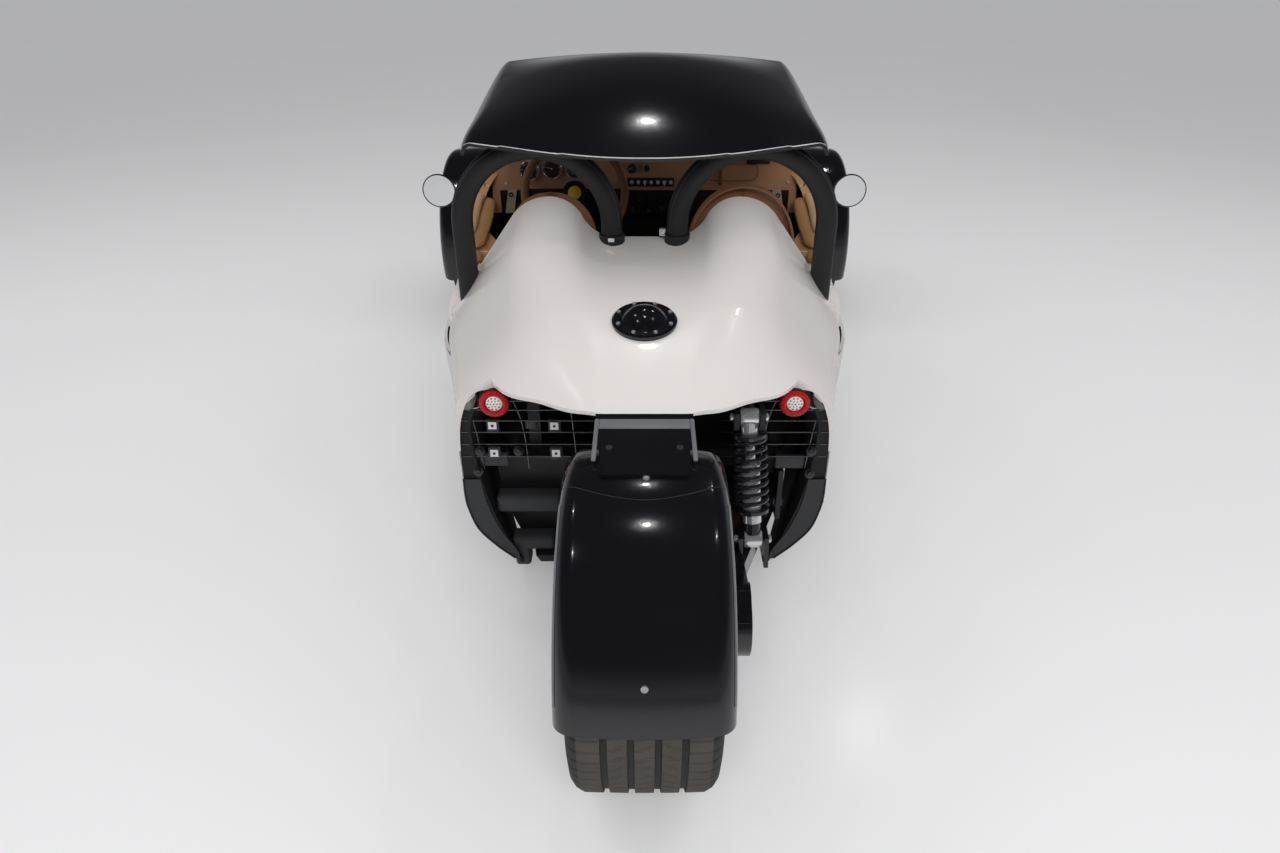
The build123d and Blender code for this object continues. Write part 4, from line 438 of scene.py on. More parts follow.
def solid_box(bm, matrix, size, bevel=0.0, segments=2):
    """A box with rounded edges."""
    verts = bmesh.ops.create_cube(bm, size=1, matrix=matrix @ Matrix.Diagonal((*size, 1)))["verts"]
    if bevel:
        edges = list({e for v in verts for e in v.link_edges})
        bmesh.ops.bevel(
            bm, geom=edges, offset=bevel, segments=segments, profile=0.5, affect="EDGES", material=-1,
            clamp_overlap=True,
        )
    mark_placed(bm)


def block(bm, place, size, bevel, segments=2):
    """A box with rounded edges that lies square to the car."""
    solid_box(bm, Matrix.Translation(at(*place)), size, bevel, segments)


def tube_along(points, radius, closed=False, smooth=True, resolution=5):
    """A round tube through points, as a mesh."""
    curve = bpy.data.curves.new("path", "CURVE")
    curve.dimensions = "3D"
    spline = curve.splines.new("POLY" if not smooth else "NURBS")
    spline.points.add(len(points) - 1)
    for point, place in zip(spline.points, points):
        point.co = (*place, 1)
    if smooth:
        spline.order_u = 3
        spline.use_endpoint_u = not closed
        spline.resolution_u = 4
    spline.use_cyclic_u = closed
    curve.bevel_depth = radius
    curve.bevel_resolution = resolution
    curve.use_fill_caps = True
    holder = bpy.data.objects.new("path", curve)
    scene.collection.objects.link(holder)
    bpy.context.view_layer.update()
    mesh = bpy.data.meshes.new_from_object(holder)
    bpy.data.objects.remove(holder)
    bpy.data.curves.remove(curve)
    return mesh


def tube_piece(name, paths, radius, mat, slot, **options):
    """One piece of several tubes."""
    bm = bmesh.new()
    for points in paths:
        mesh = tube_along(points, radius, **options)
        bm.from_mesh(mesh)
        bpy.data.meshes.remove(mesh)
    return finish_piece(bm, name, mat)


def ribbon(bm, points, side, thickness):
    """A flat strap through points, as wide as a vector."""
    half = side / 2
    edge = bm.edges.new((bm.verts.new(points[0] - half), bm.verts.new(points[0] + half)))
    faces = []
    for start, stop in zip(points, points[1:]):
        grown = bmesh.ops.extrude_edge_only(bm, edges=[edge])["geom"]
        verts = [g for g in grown if isinstance(g, bmesh.types.BMVert)]
        bmesh.ops.translate(bm, verts=verts, vec=stop - start)
        edge = next(g for g in grown if isinstance(g, bmesh.types.BMEdge) and all(v in verts for v in g.verts))
        faces += [g for g in grown if isinstance(g, bmesh.types.BMFace)]
    bmesh.ops.solidify(bm, geom=faces, thickness=thickness)


def screw(bm, place, axis, radius, height, sides=20):
    """A round screw head with a socket, seated at its place."""
    section = [
        (0, height * 0.55), (radius * 0.42, height * 0.55), (radius * 0.46, height), (radius * 0.85, height),
        (radius, height * 0.75), (radius, 0),
    ]
    lathe(bm, section, facing(place, axis), sides)


def screws_piece(name, seats, radius, height, mat):
    """A piece of screw heads, each seat as (place, axis)."""
    bm = bmesh.new()
    for place, axis in seats:
        screw(bm, place, axis, radius, height)
    finish_piece(bm, name, mat)


def surface_of(node):
    """A ray target made of a node's mesh."""
    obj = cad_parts[node]
    verts = [v.co.copy() for v in obj.data.vertices]
    faces = [tuple(p.vertices) for p in obj.data.polygons]
    return BVHTree.FromPolygons(verts, faces)


def drop_on(tree, x, y, from_z=2.0):
    """Where a ray straight down meets a surface, and the surface's normal there."""
    hit, normal, _, _ = tree.ray_cast(Vector((x, y, from_z)), -UP)
    if normal is not None and normal.z < 0:
        normal = -normal
    return hit, normal


LINING_GAP = 0.0015


def lining(name, node, keep, body):
    """A leather skin over those faces of a node that a test keeps, set off from them."""
    bm = bmesh.new()
    bm.from_mesh(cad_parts[node].data)
    bmesh.ops.remove_doubles(bm, verts=bm.verts, dist=WELD)
    bm.normal_update()
    dropped = [f for f in bm.faces if not keep(f.calc_center_median(), f.normal)]
    bmesh.ops.delete(bm, geom=dropped, context="FACES")
    bm.normal_update()
    for vert in bm.verts:
        vert.co += vert.normal * LINING_GAP
    finish_piece(bm, name, DASH_HIDE, body, merge=0, flip=False)


def smooth_line(points, per_span=6):
    """A rounded line through points, by Catmull and Rom's rule."""
    places = [Vector(p) for p in points]
    chain = [2 * places[0] - places[1]] + places + [2 * places[-1] - places[-2]]
    line = []
    for a, b, c, d in zip(chain, chain[1:], chain[2:], chain[3:]):
        for i in range(per_span):
            t = i / per_span
            bend = (2 * a - 5 * b + 4 * c - d) * t * t + (3 * b - a - 3 * c + d) * t ** 3
            line.append(0.5 * (2 * b + (c - a) * t + bend))
    return line + [places[-1]]


# Tyres
GROOVE_W = 0.013
GROOVE_DEPTH = 0.007
GROOVE_EDGE = 0.0012
RIB_NOTCH = 0.0035
SHOULDER_NOTCH = 0.0045
WALL_NOTCH = 0.003
CROWN_DROP = 0.003
TREAD_BAND = 0.006
SHOULDER_INSET = 0.03
WALL_INSETS = (0.024, 0.015)
PITCHES = 72
STEPS_PER_PITCH = 10


def tread_rows(radius, width, groove_xs):
    """Points across the tread as (x, radius, notch depth, notch shift)."""
    def crown(x):
        return radius - CROWN_DROP * (2 * x / width) ** 2

    rows = []
    edge = width / 2 - SHOULDER_INSET
    bounds = [-edge] + [x for g in groove_xs for x in (g - GROOVE_W / 2, g + GROOVE_W / 2)] + [edge]
    last = len(bounds) - 2
    for rib in range(0, len(bounds), 2):
        low, high = bounds[rib], bounds[rib + 1]
        for part in range(5):
            x = low + (high - low) * part / 4
            if rib in (0, last):
                beside_groove = part == (4 if rib == 0 else 0)
                depth, shift = 0.0 if beside_groove else SHOULDER_NOTCH, 0
            else:
                depth = RIB_NOTCH if 0 < part < 4 else 0.0
                shift = part * 2 if rib <= len(bounds) / 2 - 1 else -part * 2
            rows.append((x, crown(x), depth, shift))
        if rib < last:
            for x in (high + GROOVE_EDGE, bounds[rib + 2] - GROOVE_EDGE):
                rows.append((x, crown(x) - GROOVE_DEPTH, 0.0, 0))
    return rows


def make_tyre(name, node, width, groove_xs, body):
    """A tyre with its beads, sidewalls, ribs and notched tread blocks."""
    low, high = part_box(node)
    centre = (low + high) / 2
    radius = (high.z - low.z) / 2
    half = width / 2
    rows = tread_rows(radius, width, groove_xs)
    wall = [
        (-half + 0.018, RIM_R + 0.0005), (-half + 0.006, RIM_R + 0.006), (-half + 0.001, RIM_R + 0.016),
        (-half + 0.0015, RIM_R + 0.019), (-half + 0.0005, radius - 0.06), (-half + 0.0015, radius - 0.058),
        (-half + 0.0015, radius - 0.04), (-half + 0.006, radius - 0.022), (-half + 0.015, radius - 0.01),
        (-half + 0.024, radius - 0.0048),
    ]
    section = wall + [(x, r) for x, r, _, _ in rows] + [(-x, r) for x, r in reversed(wall)]
    notch = {round(x, 5): (depth, shift) for x, _, depth, shift in rows if depth}
    shoulder = {round(side * (half - inset), 5) for side in (-1, 1) for inset in WALL_INSETS}
    bm = bmesh.new()
    verts = [bm.verts.new((x, centre.y, centre.z + r)) for x, r in section]
    edges = [bm.edges.new(pair) for pair in zip(verts, verts[1:] + verts[:1])]
    steps = PITCHES * STEPS_PER_PITCH
    bmesh.ops.spin(bm, geom=verts + edges, cent=centre, axis=(1, 0, 0), angle=TURN, steps=steps, use_merge=True)
    for vert in bm.verts:
        out = vert.co - centre
        out.x = 0
        column = round(math.atan2(out.z, out.y) / TURN * steps)
        key = round(vert.co.x, 5)
        if key in notch and out.length > radius - TREAD_BAND:
            depth, shift = notch[key]
            if (column + shift) % STEPS_PER_PITCH == 0:
                vert.co -= out.normalized() * depth
        elif key in shoulder and column % STEPS_PER_PITCH == 0:
            vert.co -= out.normalized() * WALL_NOTCH
    bmesh.ops.translate(bm, verts=bm.verts, vec=(centre.x, 0, 0))
    piece = finish_piece(bm, name, TYRE, body)
    piece.data.materials.append(TYRE_TREAD)
    for polygon in piece.data.polygons:
        out = polygon.center - centre
        if math.hypot(out.y, out.z) > radius - TREAD_BAND:
            polygon.material_index = 1
    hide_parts(node)


make_tyre("rear_tyre_tread", "rear_tyre", 0.285, (-0.071, -0.024, 0.024, 0.071), "rear_wheel")
for side, sign in SIDES:
    make_tyre(
        f"front_tyre_{side}_tread", f"front_tyre_{side}", 0.225, (-0.055, -0.019, 0.019, 0.055), f"front_wheel_{side}"
    )


# Wheels' centre caps and nuts
CAP_R = 0.03
NUT_RING_R = 0.05
HUB_SINK = 0.014
REAR_HUB_X = -0.128


def wheel_trim(name, centre, outward, face_x, body):
    """A centre cap and five nuts on the outer face of a wheel."""
    bm = bmesh.new()
    face = Vector((face_x, centre.y, centre.z))
    axis = ACROSS * outward
    lathe(bm, [(0, 0.006), (CAP_R * 0.8, 0.005), (CAP_R, 0.001), (CAP_R, -0.004)], facing(face, axis), 40)
    for angle in around(5):
        nut = face + Vector((0, math.cos(angle), math.sin(angle))) * NUT_RING_R
        rod(bm, facing(nut, axis) @ Matrix.Translation((0, 0, 0.005)), 0.0105, 0.0095, 0.016)
    finish_piece(bm, name, CHROME_WITH_PAINTED_SHINE, body)


for side, sign in SIDES:
    rim_low, rim_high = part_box(f"front_rim_{side}")
    outer_x = rim_high.x if sign > 0 else rim_low.x
    wheel_trim(
        f"front_wheel_nuts_{side}", (rim_low + rim_high) / 2, sign, outer_x - sign * HUB_SINK, f"front_wheel_{side}"
    )
wheel_trim("rear_wheel_nuts", middle("rear_rim"), -1, REAR_HUB_X, "rear_wheel")


# Painted highlights along the roll hoops
HOOP_OUTER_FOOT_Z = 0.72
HOOP_HIGHLIGHT_R = 0.0011
HOOP_HIGHLIGHT_STEPS = 24
SKIN_LIFT = 0.0002


def hoop_highlights():
    """A thin grey line behind and outside each hoop, a painted highlight along its outer edge."""
    for side, sign in SIDES:
        hub = at(sign * HOOP_X, HOOP_AHEAD, HOOP_SPRING_Z)
        line = [at(sign * (HOOP_X + HOOP_R), HOOP_AHEAD, HOOP_OUTER_FOOT_Z)]
        for i in range(HOOP_HIGHLIGHT_STEPS + 1):
            angle = math.pi * i / HOOP_HIGHLIGHT_STEPS
            line.append(hub + Vector((sign * HOOP_R * math.cos(angle), 0, HOOP_R * math.sin(angle))))
        path = []
        for place in line:
            out = place - hub
            out.z = max(0.0, out.z)
            path.append(place + (out.normalized() + BACK * 0.9).normalized() * (TUBE_R + SKIN_LIFT))
        # The grey tube is a painted highlight where the glossy hoop's edge catches the light.
        tube_piece(f"hoop_highlight_{side}", [path], HOOP_HIGHLIGHT_R, FRAME_GREY, "black_matte", smooth=False, resolution=2)


hoop_highlights()


# Tail lamps
LAMP_X = 0.344
LAMP_Z = 0.609
LAMP_AHEAD = 0.398
LAMP_BLOCKS = 28
LAMP_BLOCK_RING_R = 0.027
LAMP_SPOT_RINGS = ((0.0075, 6), (0.0142, 10))
LAMP_HOUSING = (
    (0, -0.033), (0.03, -0.033), (0.0335, -0.004), (0.036, -0.002), (0.036, 0.0), (0.034, 0.0), (0.034, -0.003),
    (0, -0.004),
)
LAMP_RING = ((0.0195, -0.003), (0.0195, 0.003), (0.023, 0.0055), (0.029, 0.005), (0.0338, 0.002), (0.0338, -0.003))
LAMP_CENTRE = ((0, 0.004), (0.012, 0.0035), (0.0185, 0.001), (0.0185, -0.003))


def tail_lamp(side, sign):
    """A round lamp: housing, red ring lens with moulded blocks, and a clear centre with small emitters."""
    face = at(sign * LAMP_X, LAMP_AHEAD, LAMP_Z)
    rear = facing(face, BACK)
    shell = turned(f"tail_lamp_housing_{side}", LAMP_HOUSING, rear, 56, BLACK_MATTE_AND_SHADE)
    turned(f"tail_lamp_red_{side}", LAMP_RING, rear, 56, RED_LENS, closed=True)
    blocks = bmesh.new()
    for angle in around(LAMP_BLOCKS):
        out = Vector((math.cos(angle), 0, math.sin(angle)))
        place = face + out * LAMP_BLOCK_RING_R + BACK * 0.0015
        solid_box(blocks, facing(place, BACK, out), (0.011, 0.0034, 0.007), 0.0006, 1)
    finish_piece(blocks, f"tail_lamp_blocks_{side}", RED_BLOCK)
    turned(f"tail_lamp_clear_{side}", LAMP_CENTRE, rear, 48, LED)
    spots = bmesh.new()
    places = [face + BACK * 0.0044]
    for ring_r, count in LAMP_SPOT_RINGS:
        places += [face + Vector((math.cos(a), 0, math.sin(a))) * ring_r + BACK * 0.0032 for a in around(count)]
    for place in places:
        lathe(spots, [(0, 0.0012), (0.0013, 0.001), (0.0019, 0)], facing(place, BACK), 12)
    finish_piece(spots, f"tail_lamp_spots_{side}", DIAL)
    return shell


lamp_shells = [tail_lamp(side, sign) for side, sign in SIDES]
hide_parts("tail_lamps")


# Filler cap screws
FILLER_CENTRE = at(0, 0.503, 0.766)
FILLER_UP = Vector((0, -math.sin(FILLER_TILT), math.cos(FILLER_TILT)))
FILLER_RING_R = 0.0645
FILLER_SEAT = 0.0088


def filler_screws():
    """Eight screws round the flange of the filler cap."""
    matrix = facing(FILLER_CENTRE, FILLER_UP, ACROSS)
    seats = [(spot(matrix, FILLER_RING_R, angle, FILLER_SEAT), FILLER_UP) for angle in around(8, 0.5)]
    screws_piece("filler_screws", seats, 0.0048, 0.004, CHROME_WITH_PAINTED_SHINE)


filler_screws()


# Rear shock: eyes, damper body, collars and coil spring
SHOCK_LOW = at(0.245, 0.23, 0.352)
SHOCK_HIGH = at(0.229, 0.315, 0.622)
SHOCK_BOLT_X = 0.034
COIL_TURNS = 8
COIL_STEPS = 14


def coil_points(start, end, radius):
    """A helix about the line from one point to another."""
    matrix = facing(start, end - start)
    length = (end - start).length
    count = COIL_TURNS * COIL_STEPS
    return [spot(matrix, radius, i / COIL_STEPS * TURN, length * i / count) for i in range(count + 1)]


def make_shock():
    """The rear coil-over in its real pieces."""
    line = SHOCK_HIGH - SHOCK_LOW
    matrix = facing(SHOCK_LOW, line, ACROSS)
    length = line.length
    bright = bmesh.new()
    lathe(bright, [(0.0195, 0.04), (0.0215, 0.042), (0.0215, 0.066), (0.026, 0.068), (0.0195, 0.072)], matrix, 40)
    damper = [
        (0.018, 0.07), (0.0215, 0.075), (0.0215, length * 0.62), (0.012, length * 0.64), (0.01, length - 0.045),
        (0.0185, length - 0.04), (0.0185, length - 0.012), (0.012, length - 0.01), (0, length - 0.01),
    ]
    lathe(bright, damper, matrix, 40)
    eye = [(0.0115, -0.02), (0.0195, -0.02), (0.0205, -0.017), (0.0205, 0.017), (0.0195, 0.02), (0.0115, 0.02)]
    for end in (SHOCK_LOW, SHOCK_HIGH):
        lathe(bright, eye, facing(end, ACROSS), 36, closed=True)
    piece = finish_piece(bright, "shock_body", CHROME_WITH_PAINTED_SHINE)
    dark = bmesh.new()
    lathe(dark, [(0, 0.01), (0.0185, 0.014), (0.0185, 0.041), (0.0, 0.043)], matrix, 36)
    for low in (0.066, length - 0.045):
        seat = [(0.012, low), (0.038, low), (0.039, low + 0.003), (0.039, low + 0.008), (0.012, low + 0.01)]
        lathe(dark, seat, matrix, 40)
    finish_piece(dark, "shock_damper", SPRING_BLACK)
    coil = coil_points(matrix @ Vector((0, 0, 0.078)), matrix @ Vector((0, 0, length - 0.047)), 0.036)
    tube_piece("shock_spring", [coil], 0.0052, SPRING_BLACK, "black_satin")
    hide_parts("rear_shock")
    seats = [(end + way * SHOCK_BOLT_X, way) for end in (SHOCK_HIGH, SHOCK_LOW) for way in (ACROSS, -ACROSS)]
    screws_piece("shock_bolts", seats, 0.009, 0.008, CHROME_WITH_PAINTED_SHINE)


make_shock()


# Tail mesh: wires as (z, outer end, left inner end, right inner end), bowed uprights as (x, z)
MESH_AHEAD = 0.4185
UPRIGHT_AHEAD = MESH_AHEAD + 0.0028
WIRE_R = 0.0014
WIRES = (
    (0.604, 0.375, 0.21, 0.21), (0.58, 0.412, 0.19, 0.274), (0.5513, 0.43, 0.118, 0.274),
    (0.5198, 0.434, 0.118, 0.274), (0.4864, 0.435, 0.118, 0.274), (0.4517, 0.435, 0.118, 0.274),
)
WIRE_GAPS = ((-0.13, 0.105), (0.18, 0.272))
UPRIGHTS = (
    ((0.408, 0.58), (0.398, 0.53), (0.393, 0.4735), (0.388, 0.415)),
    ((0.311, 0.619), (0.297, 0.5856), (0.286, 0.5373), (0.281, 0.4807), (0.279, 0.415)),
    ((0.1716, 0.5774), (0.1663, 0.5233), (0.1626, 0.4223)),
)


def wire(start_x, end_x, z):
    """The two ends of a level wire."""
    return [at(start_x, MESH_AHEAD, z), at(end_x, MESH_AHEAD, z)]


def tail_mesh():
    """Thin bright wires across the open tail, with bowed upright ones: three at the left, two at the right."""
    paths = []
    for z, end, left, right in WIRES:
        paths += [wire(-end, -left, z), wire(right, end, z)]
    for sign, count in ((-1, 3), (1, 2)):
        for upright in UPRIGHTS[:count]:
            paths.append([at(sign * x, UPRIGHT_AHEAD, z) for x, z in upright])
    piece = tube_piece("tail_wires", paths, WIRE_R, WIRE, "black_satin", resolution=2)
    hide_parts("rear_mesh")
    dim = [wire(a, b, z) for z, _, _, _ in WIRES[2:] for a, b in WIRE_GAPS]
    tube_piece("tail_wires_dim", dim, WIRE_R * 0.7, SILVER_DULL, "black_satin", resolution=2)


tail_mesh()


# Plate clips
CLIP_PLACES = ((-0.3565, 0.54), (-0.2114, 0.539), (-0.3589, 0.4631), (-0.2113, 0.4631))
CLIP_AHEAD = 0.4145


def plate_clips():
    """Four bright clips for a plate, their threaded blocks behind them, and the bracket between."""
    clips, blocks = bmesh.new(), bmesh.new()
    for x, z in CLIP_PLACES:
        block(clips, (x, CLIP_AHEAD, z), (0.0195, 0.0016, 0.0195), 0.0005, 1)
        lathe(blocks, [(0, 0.002), (0.0034, 0.002), (0.0034, -0.001)], facing(at(x, CLIP_AHEAD, z), BACK), 16)
        block(blocks, (x, CLIP_AHEAD + 0.008, z - 0.004), (0.03, 0.008, 0.034), 0.002)
        lathe(blocks, [(0, 0.0), (0.005, 0.0), (0.005, -0.006)], facing(at(x, CLIP_AHEAD + 0.003, z), BACK), 16)
    block(blocks, (-0.2669, 0.4225, 0.5385), (0.026, 0.006, 0.022), 0.002)
    for x, z in ((-0.365, 0.435), (0.352, 0.428)):
        block(blocks, (x, 0.433, z), (0.072, 0.012, 0.036), 0.004, 3)
    finish_piece(clips, "plate_clips", SILVER)
    finish_piece(blocks, "plate_clip_blocks", FRAME_GREY)


plate_clips()


# The tail's wider end: skirt flanges, flared skins, rounded corners and webs
SKIRT_AHEAD = 0.4125
SKIRT_OUTER = (
    (0.4415, 0.388), (0.442, 0.343), (0.438, 0.304), (0.4195, 0.2402), (0.379, 0.1869), (0.334, 0.144),
)
SKIRT_INNER = (
    (0.3985, 0.388), (0.395, 0.35), (0.3865, 0.304), (0.362, 0.232), (0.327, 0.17), (0.32, 0.14),
)
BESIDE_X = 0.9
WALL_END = 0.4165
FLARE_REAR = 0.4158
FLARE_FROM = 0.8
FLARE_GAP = 0.0012
FLARE_STEPS = 14
FLARE_LINE = (
    (0.137, 0.328), (0.144, 0.335), (0.187, 0.379), (0.24, 0.4195), (0.304, 0.438), (0.343, 0.4415),
    (0.388, 0.4425), (0.45, 0.443), (0.5, 0.442), (0.545, 0.4395), (0.588, 0.4365),
)
CORNER_INNER = (
    (0.3, 0.624), (0.3417, 0.6351), (0.3733, 0.6343), (0.3925, 0.6255), (0.407, 0.609), (0.419, 0.583),
    (0.429, 0.551), (0.435, 0.515), (0.438, 0.47),
)
CORNER_AHEAD = 0.4132
CORNER_TOP_Z = 0.668
DECK_EDGE_Z = 0.588
WEB_AHEAD = 0.419
WEB_LOW_Z = 0.388


def along(stations, key):
    """The value at a key, read between (key, value) stations and held past the last one."""
    for (k0, v0), (k1, v1) in zip(stations, stations[1:]):
        if key <= k1:
            return v0 + (v1 - v0) * (key - k0) / (k1 - k0)
    return stations[-1][1]


def strip_between(bm, first, second, depth):
    """A plate between two lines, given a thickness."""
    pairs = [(bm.verts.new(a), bm.verts.new(b)) for a, b in zip(first, second)]
    edges = [bm.edges.new(pair) for pair in pairs]
    faces = []
    for one, two in zip(edges, edges[1:]):
        faces += bmesh.ops.bridge_loops(bm, edges=[one, two])["faces"]
    bmesh.ops.recalc_face_normals(bm, faces=faces)
    bmesh.ops.solidify(bm, geom=faces, thickness=depth)


def plate_piece(name, first, second, depth, mat):
    """A piece that is one plate between two lines."""
    bm = bmesh.new()
    strip_between(bm, first, second, depth)
    finish_piece(bm, name, mat)


def skirt_ends():
    """The wide grey flanges that close the sills at the tail."""
    for side, sign in SIDES:
        outer = [at(sign * x, SKIRT_AHEAD, z) for x, z in smooth_line(SKIRT_OUTER)]
        inner = [at(sign * x, SKIRT_AHEAD, z) for x, z in smooth_line(SKIRT_INNER)]
        plate_piece(f"skirt_end_{side}", outer, inner, 0.004, GREY_SKIRT)
        lip = [place + Vector((-sign * 0.001, -0.001, 0)) for place in outer]
        tube_piece(f"skirt_lip_{side}", [lip], 0.0022, BLACK_GLOSS, "black_gloss", smooth=False, resolution=2)


def wall_hit(skin, sign, ahead, z):
    """Where a ray from beside the car meets a surface."""
    return skin.ray_cast(at(sign * BESIDE_X, ahead, z), ACROSS * -sign)[0]


def tail_flare(name, node, low_z, high_z, mat):
    """A skin that carries a side panel's surface out to the tail's wider end."""
    skin = surface_of(node)
    for side, sign in SIDES:
        bm = bmesh.new()
        rows = []
        for i in range(FLARE_STEPS + 1):
            part = i / FLARE_STEPS
            ahead = FLARE_REAR + (FLARE_FROM - FLARE_REAR) * part
            share = (1 - part) ** 2 * (1 + 2 * part)
            row = []
            base = end = FLARE_LINE[0][1]
            for j in range(FLARE_STEPS + 1):
                z = low_z + (high_z - low_z) * j / FLARE_STEPS
                here, there = wall_hit(skin, sign, ahead, z), wall_hit(skin, sign, WALL_END, z)
                base = abs(here.x) if here else base
                end = abs(there.x) if there else end
                out = base + FLARE_GAP + max(0.0, along(FLARE_LINE, z) - end) * share
                row.append(bm.verts.new(at(sign * out, ahead, z)))
            rows.append([bm.edges.new(pair) for pair in zip(row, row[1:])])
        faces = []
        for one, two in zip(rows, rows[1:]):
            faces += bmesh.ops.bridge_loops(bm, edges=one + two)["faces"]
        bmesh.ops.recalc_face_normals(bm, faces=faces)
        if faces[0].normal.x * sign < 0:
            bmesh.ops.reverse_faces(bm, faces=faces)
        bmesh.ops.solidify(bm, geom=faces, thickness=0.0022)
        finish_piece(bm, f"{name}_{side}", mat)


def resampled(points, count):
    """The same line as a number of evenly spaced points."""
    lengths = [0.0]
    for a, b in zip(points, points[1:]):
        lengths.append(lengths[-1] + (b - a).length)
    line = []
    for i in range(count):
        goal = lengths[-1] * i / (count - 1)
        k = max(j for j, length in enumerate(lengths[:-1]) if length <= goal)
        line.append(points[k].lerp(points[k + 1], (goal - lengths[k]) / (lengths[k + 1] - lengths[k])))
    return line


def tail_webs():
    """Rounded corners over the lamps, and the webs that close the tail's wider end."""
    deck, panel = surface_of("rear_deck"), surface_of("side_panels")
    for side, sign in SIDES:
        corner = []
        for i in range(25):
            z = CORNER_TOP_Z - 0.198 * i / 24
            hit = wall_hit(deck, sign, WALL_END, z) if z > DECK_EDGE_Z else None
            corner.append(at(hit.x if hit else sign * along(FLARE_LINE, z), CORNER_AHEAD, z))
        inner = [at(sign * x, CORNER_AHEAD, z) for x, z in smooth_line(CORNER_INNER, 4)]
        plate_piece(
            f"tail_corner_{side}", resampled(corner, 40), resampled(inner, 40), 0.002, PAINT
        )
        heights = [WEB_LOW_Z + 0.19 * i / 10 for i in range(11)]
        outer = [at(sign * (along(FLARE_LINE, z) - 0.002), WEB_AHEAD, z) for z in heights]
        inner = [at(wall_hit(panel, sign, WALL_END, z).x - sign * 0.009, WEB_AHEAD, z) for z in heights]
        plate_piece(f"tail_web_{side}", outer, inner, 0.003, BLACK_MATTE_AND_SHADE)


skirt_ends()
tail_flare("tail_side", "side_panels", 0.3885, DECK_EDGE_Z, PAINT)
tail_flare("sill_end", "sills", 0.137, 0.3875, GREY_SKIRT)
tail_webs()


# What shows below the mesh
SHIELD_BLOCKS = (
    ((-0.29, 0.452, 0.3), (0.16, 0.05, 0.05), 0.012), ((-0.2, 0.455, 0.286), (0.06, 0.044, 0.03), 0.01),
    ((-0.286, 0.452, 0.176), (0.108, 0.05, 0.04), 0.01), ((-0.316, 0.452, 0.14), (0.04, 0.05, 0.07), 0.01),
)
STUD_PLACES = ((-0.402, 0.412), (-0.392, 0.47), (-0.3, 0.47), (0.4, 0.405), (0.398, 0.47))
STUD = ((0, 0.008), (0.006, 0.008), (0.0075, 0.006), (0.0075, 0.003), (0.012, 0.002), (0.012, 0.0))
BOX_AHEAD = 0.486
BOX_LEFT = ((-0.372, 0.41), (-0.36, 0.3), (-0.338, 0.215), (-0.305, 0.135))
BOX_RIGHT = ((-0.165, 0.41), (-0.165, 0.3), (-0.185, 0.215), (-0.215, 0.135))


def undertray():
    """A heat shield, the studs of the tail's edge, and a moulded panel that closes the low left side."""
    bm = bmesh.new()
    for place, size, bevel in SHIELD_BLOCKS:
        block(bm, place, size, bevel, 4)
    finish_piece(bm, "tail_heat_shield", GREY_SKIRT)
    studs = bmesh.new()
    for x, z in STUD_PLACES:
        lathe(studs, STUD, facing(at(x, 0.414, z), (0, -1, 0.3)), 18)
    finish_piece(studs, "tail_studs", SILVER_DULL)
    left, right = ([at(x, BOX_AHEAD, z) for x, z in smooth_line(line)] for line in (BOX_LEFT, BOX_RIGHT))
    plate_piece("tail_box", left, right, 0.006, BLACK_SATIN)


undertray()


# Bridge rails, bolts and the fender's seam and screws, with painted highlights down the fender's edges
RAIL_Z = 0.7005
SEAM_HALF = 0.148
FENDER_HIGHLIGHT_X = 0.15
FENDER_SCREWS = ((0.003, -0.03), (0.0, -0.33))


def bridge_trim():
    """Grey rails along the bridge's sides, its front plate's edge and its bolts."""
    rails = bmesh.new()
    for sign in (-1, 1):
        block(rails, (sign * 0.0945, 0.095, RAIL_Z), (0.009, 0.15, 0.006), 0.0028, 3)
    block(rails, (0, 0.152, RAIL_Z), (0.18, 0.036, 0.004), 0.0018, 3)
    finish_piece(rails, "bridge_rails", BRIDGE_GREY)
    seats = [(at(sign * 0.067, 0.062, RAIL_Z), UP) for sign in (-1, 1)]
    screws_piece("bridge_bolts", seats, 0.0065, 0.005, FRAME_GREY)


def fender_trim():
    """A seam across the rear fender, its two screws, and a grey line down each side that is a painted highlight on the
    rolled edge.
    """
    skin = surface_of("rear_fender")
    line = []
    for i in range(-24, 25):
        x = i / 24 * SEAM_HALF
        bow = -0.083 + 0.055 * (abs(x) / SEAM_HALF) ** 1.8
        hit, normal = drop_on(skin, x, REAR_AXLE_Y + bow)
        if hit:
            line.append(hit + normal * SKIN_LIFT)
    tube_piece("fender_seam", [line], 0.0007, FRAME_GREY, "frame_grey", smooth=False, resolution=2)
    spots = [drop_on(skin, x, REAR_AXLE_Y + ahead) for x, ahead in FENDER_SCREWS]
    seats = [(hit + normal * 0.0001, normal) for hit, normal in spots]
    screws_piece("fender_screws", seats, 0.0062, 0.004, CHROME_WITH_PAINTED_SHINE)
    axle = middle("rear_tyre")
    edges = []
    for sign in (-1, 1):
        path = []
        for i in range(41):
            angle = math.radians(101 + 60 * i / 40)
            out = Vector((0, math.cos(angle), math.sin(angle)))
            start = axle + out * 0.6 + ACROSS * (sign * FENDER_HIGHLIGHT_X)
            hit, _, _, _ = skin.ray_cast(start, -out)
            if hit:
                path.append(hit + out * 0.0006 + ACROSS * (sign * 0.0006))
        edges.append(path)
    # These grey tubes are painted highlights where the fender's rolled edges catch the light.
    tube_piece("fender_edge_highlights", edges, 0.0022, BRIDGE_GREY, "frame_grey", smooth=False, resolution=2)


bridge_trim()
fender_trim()


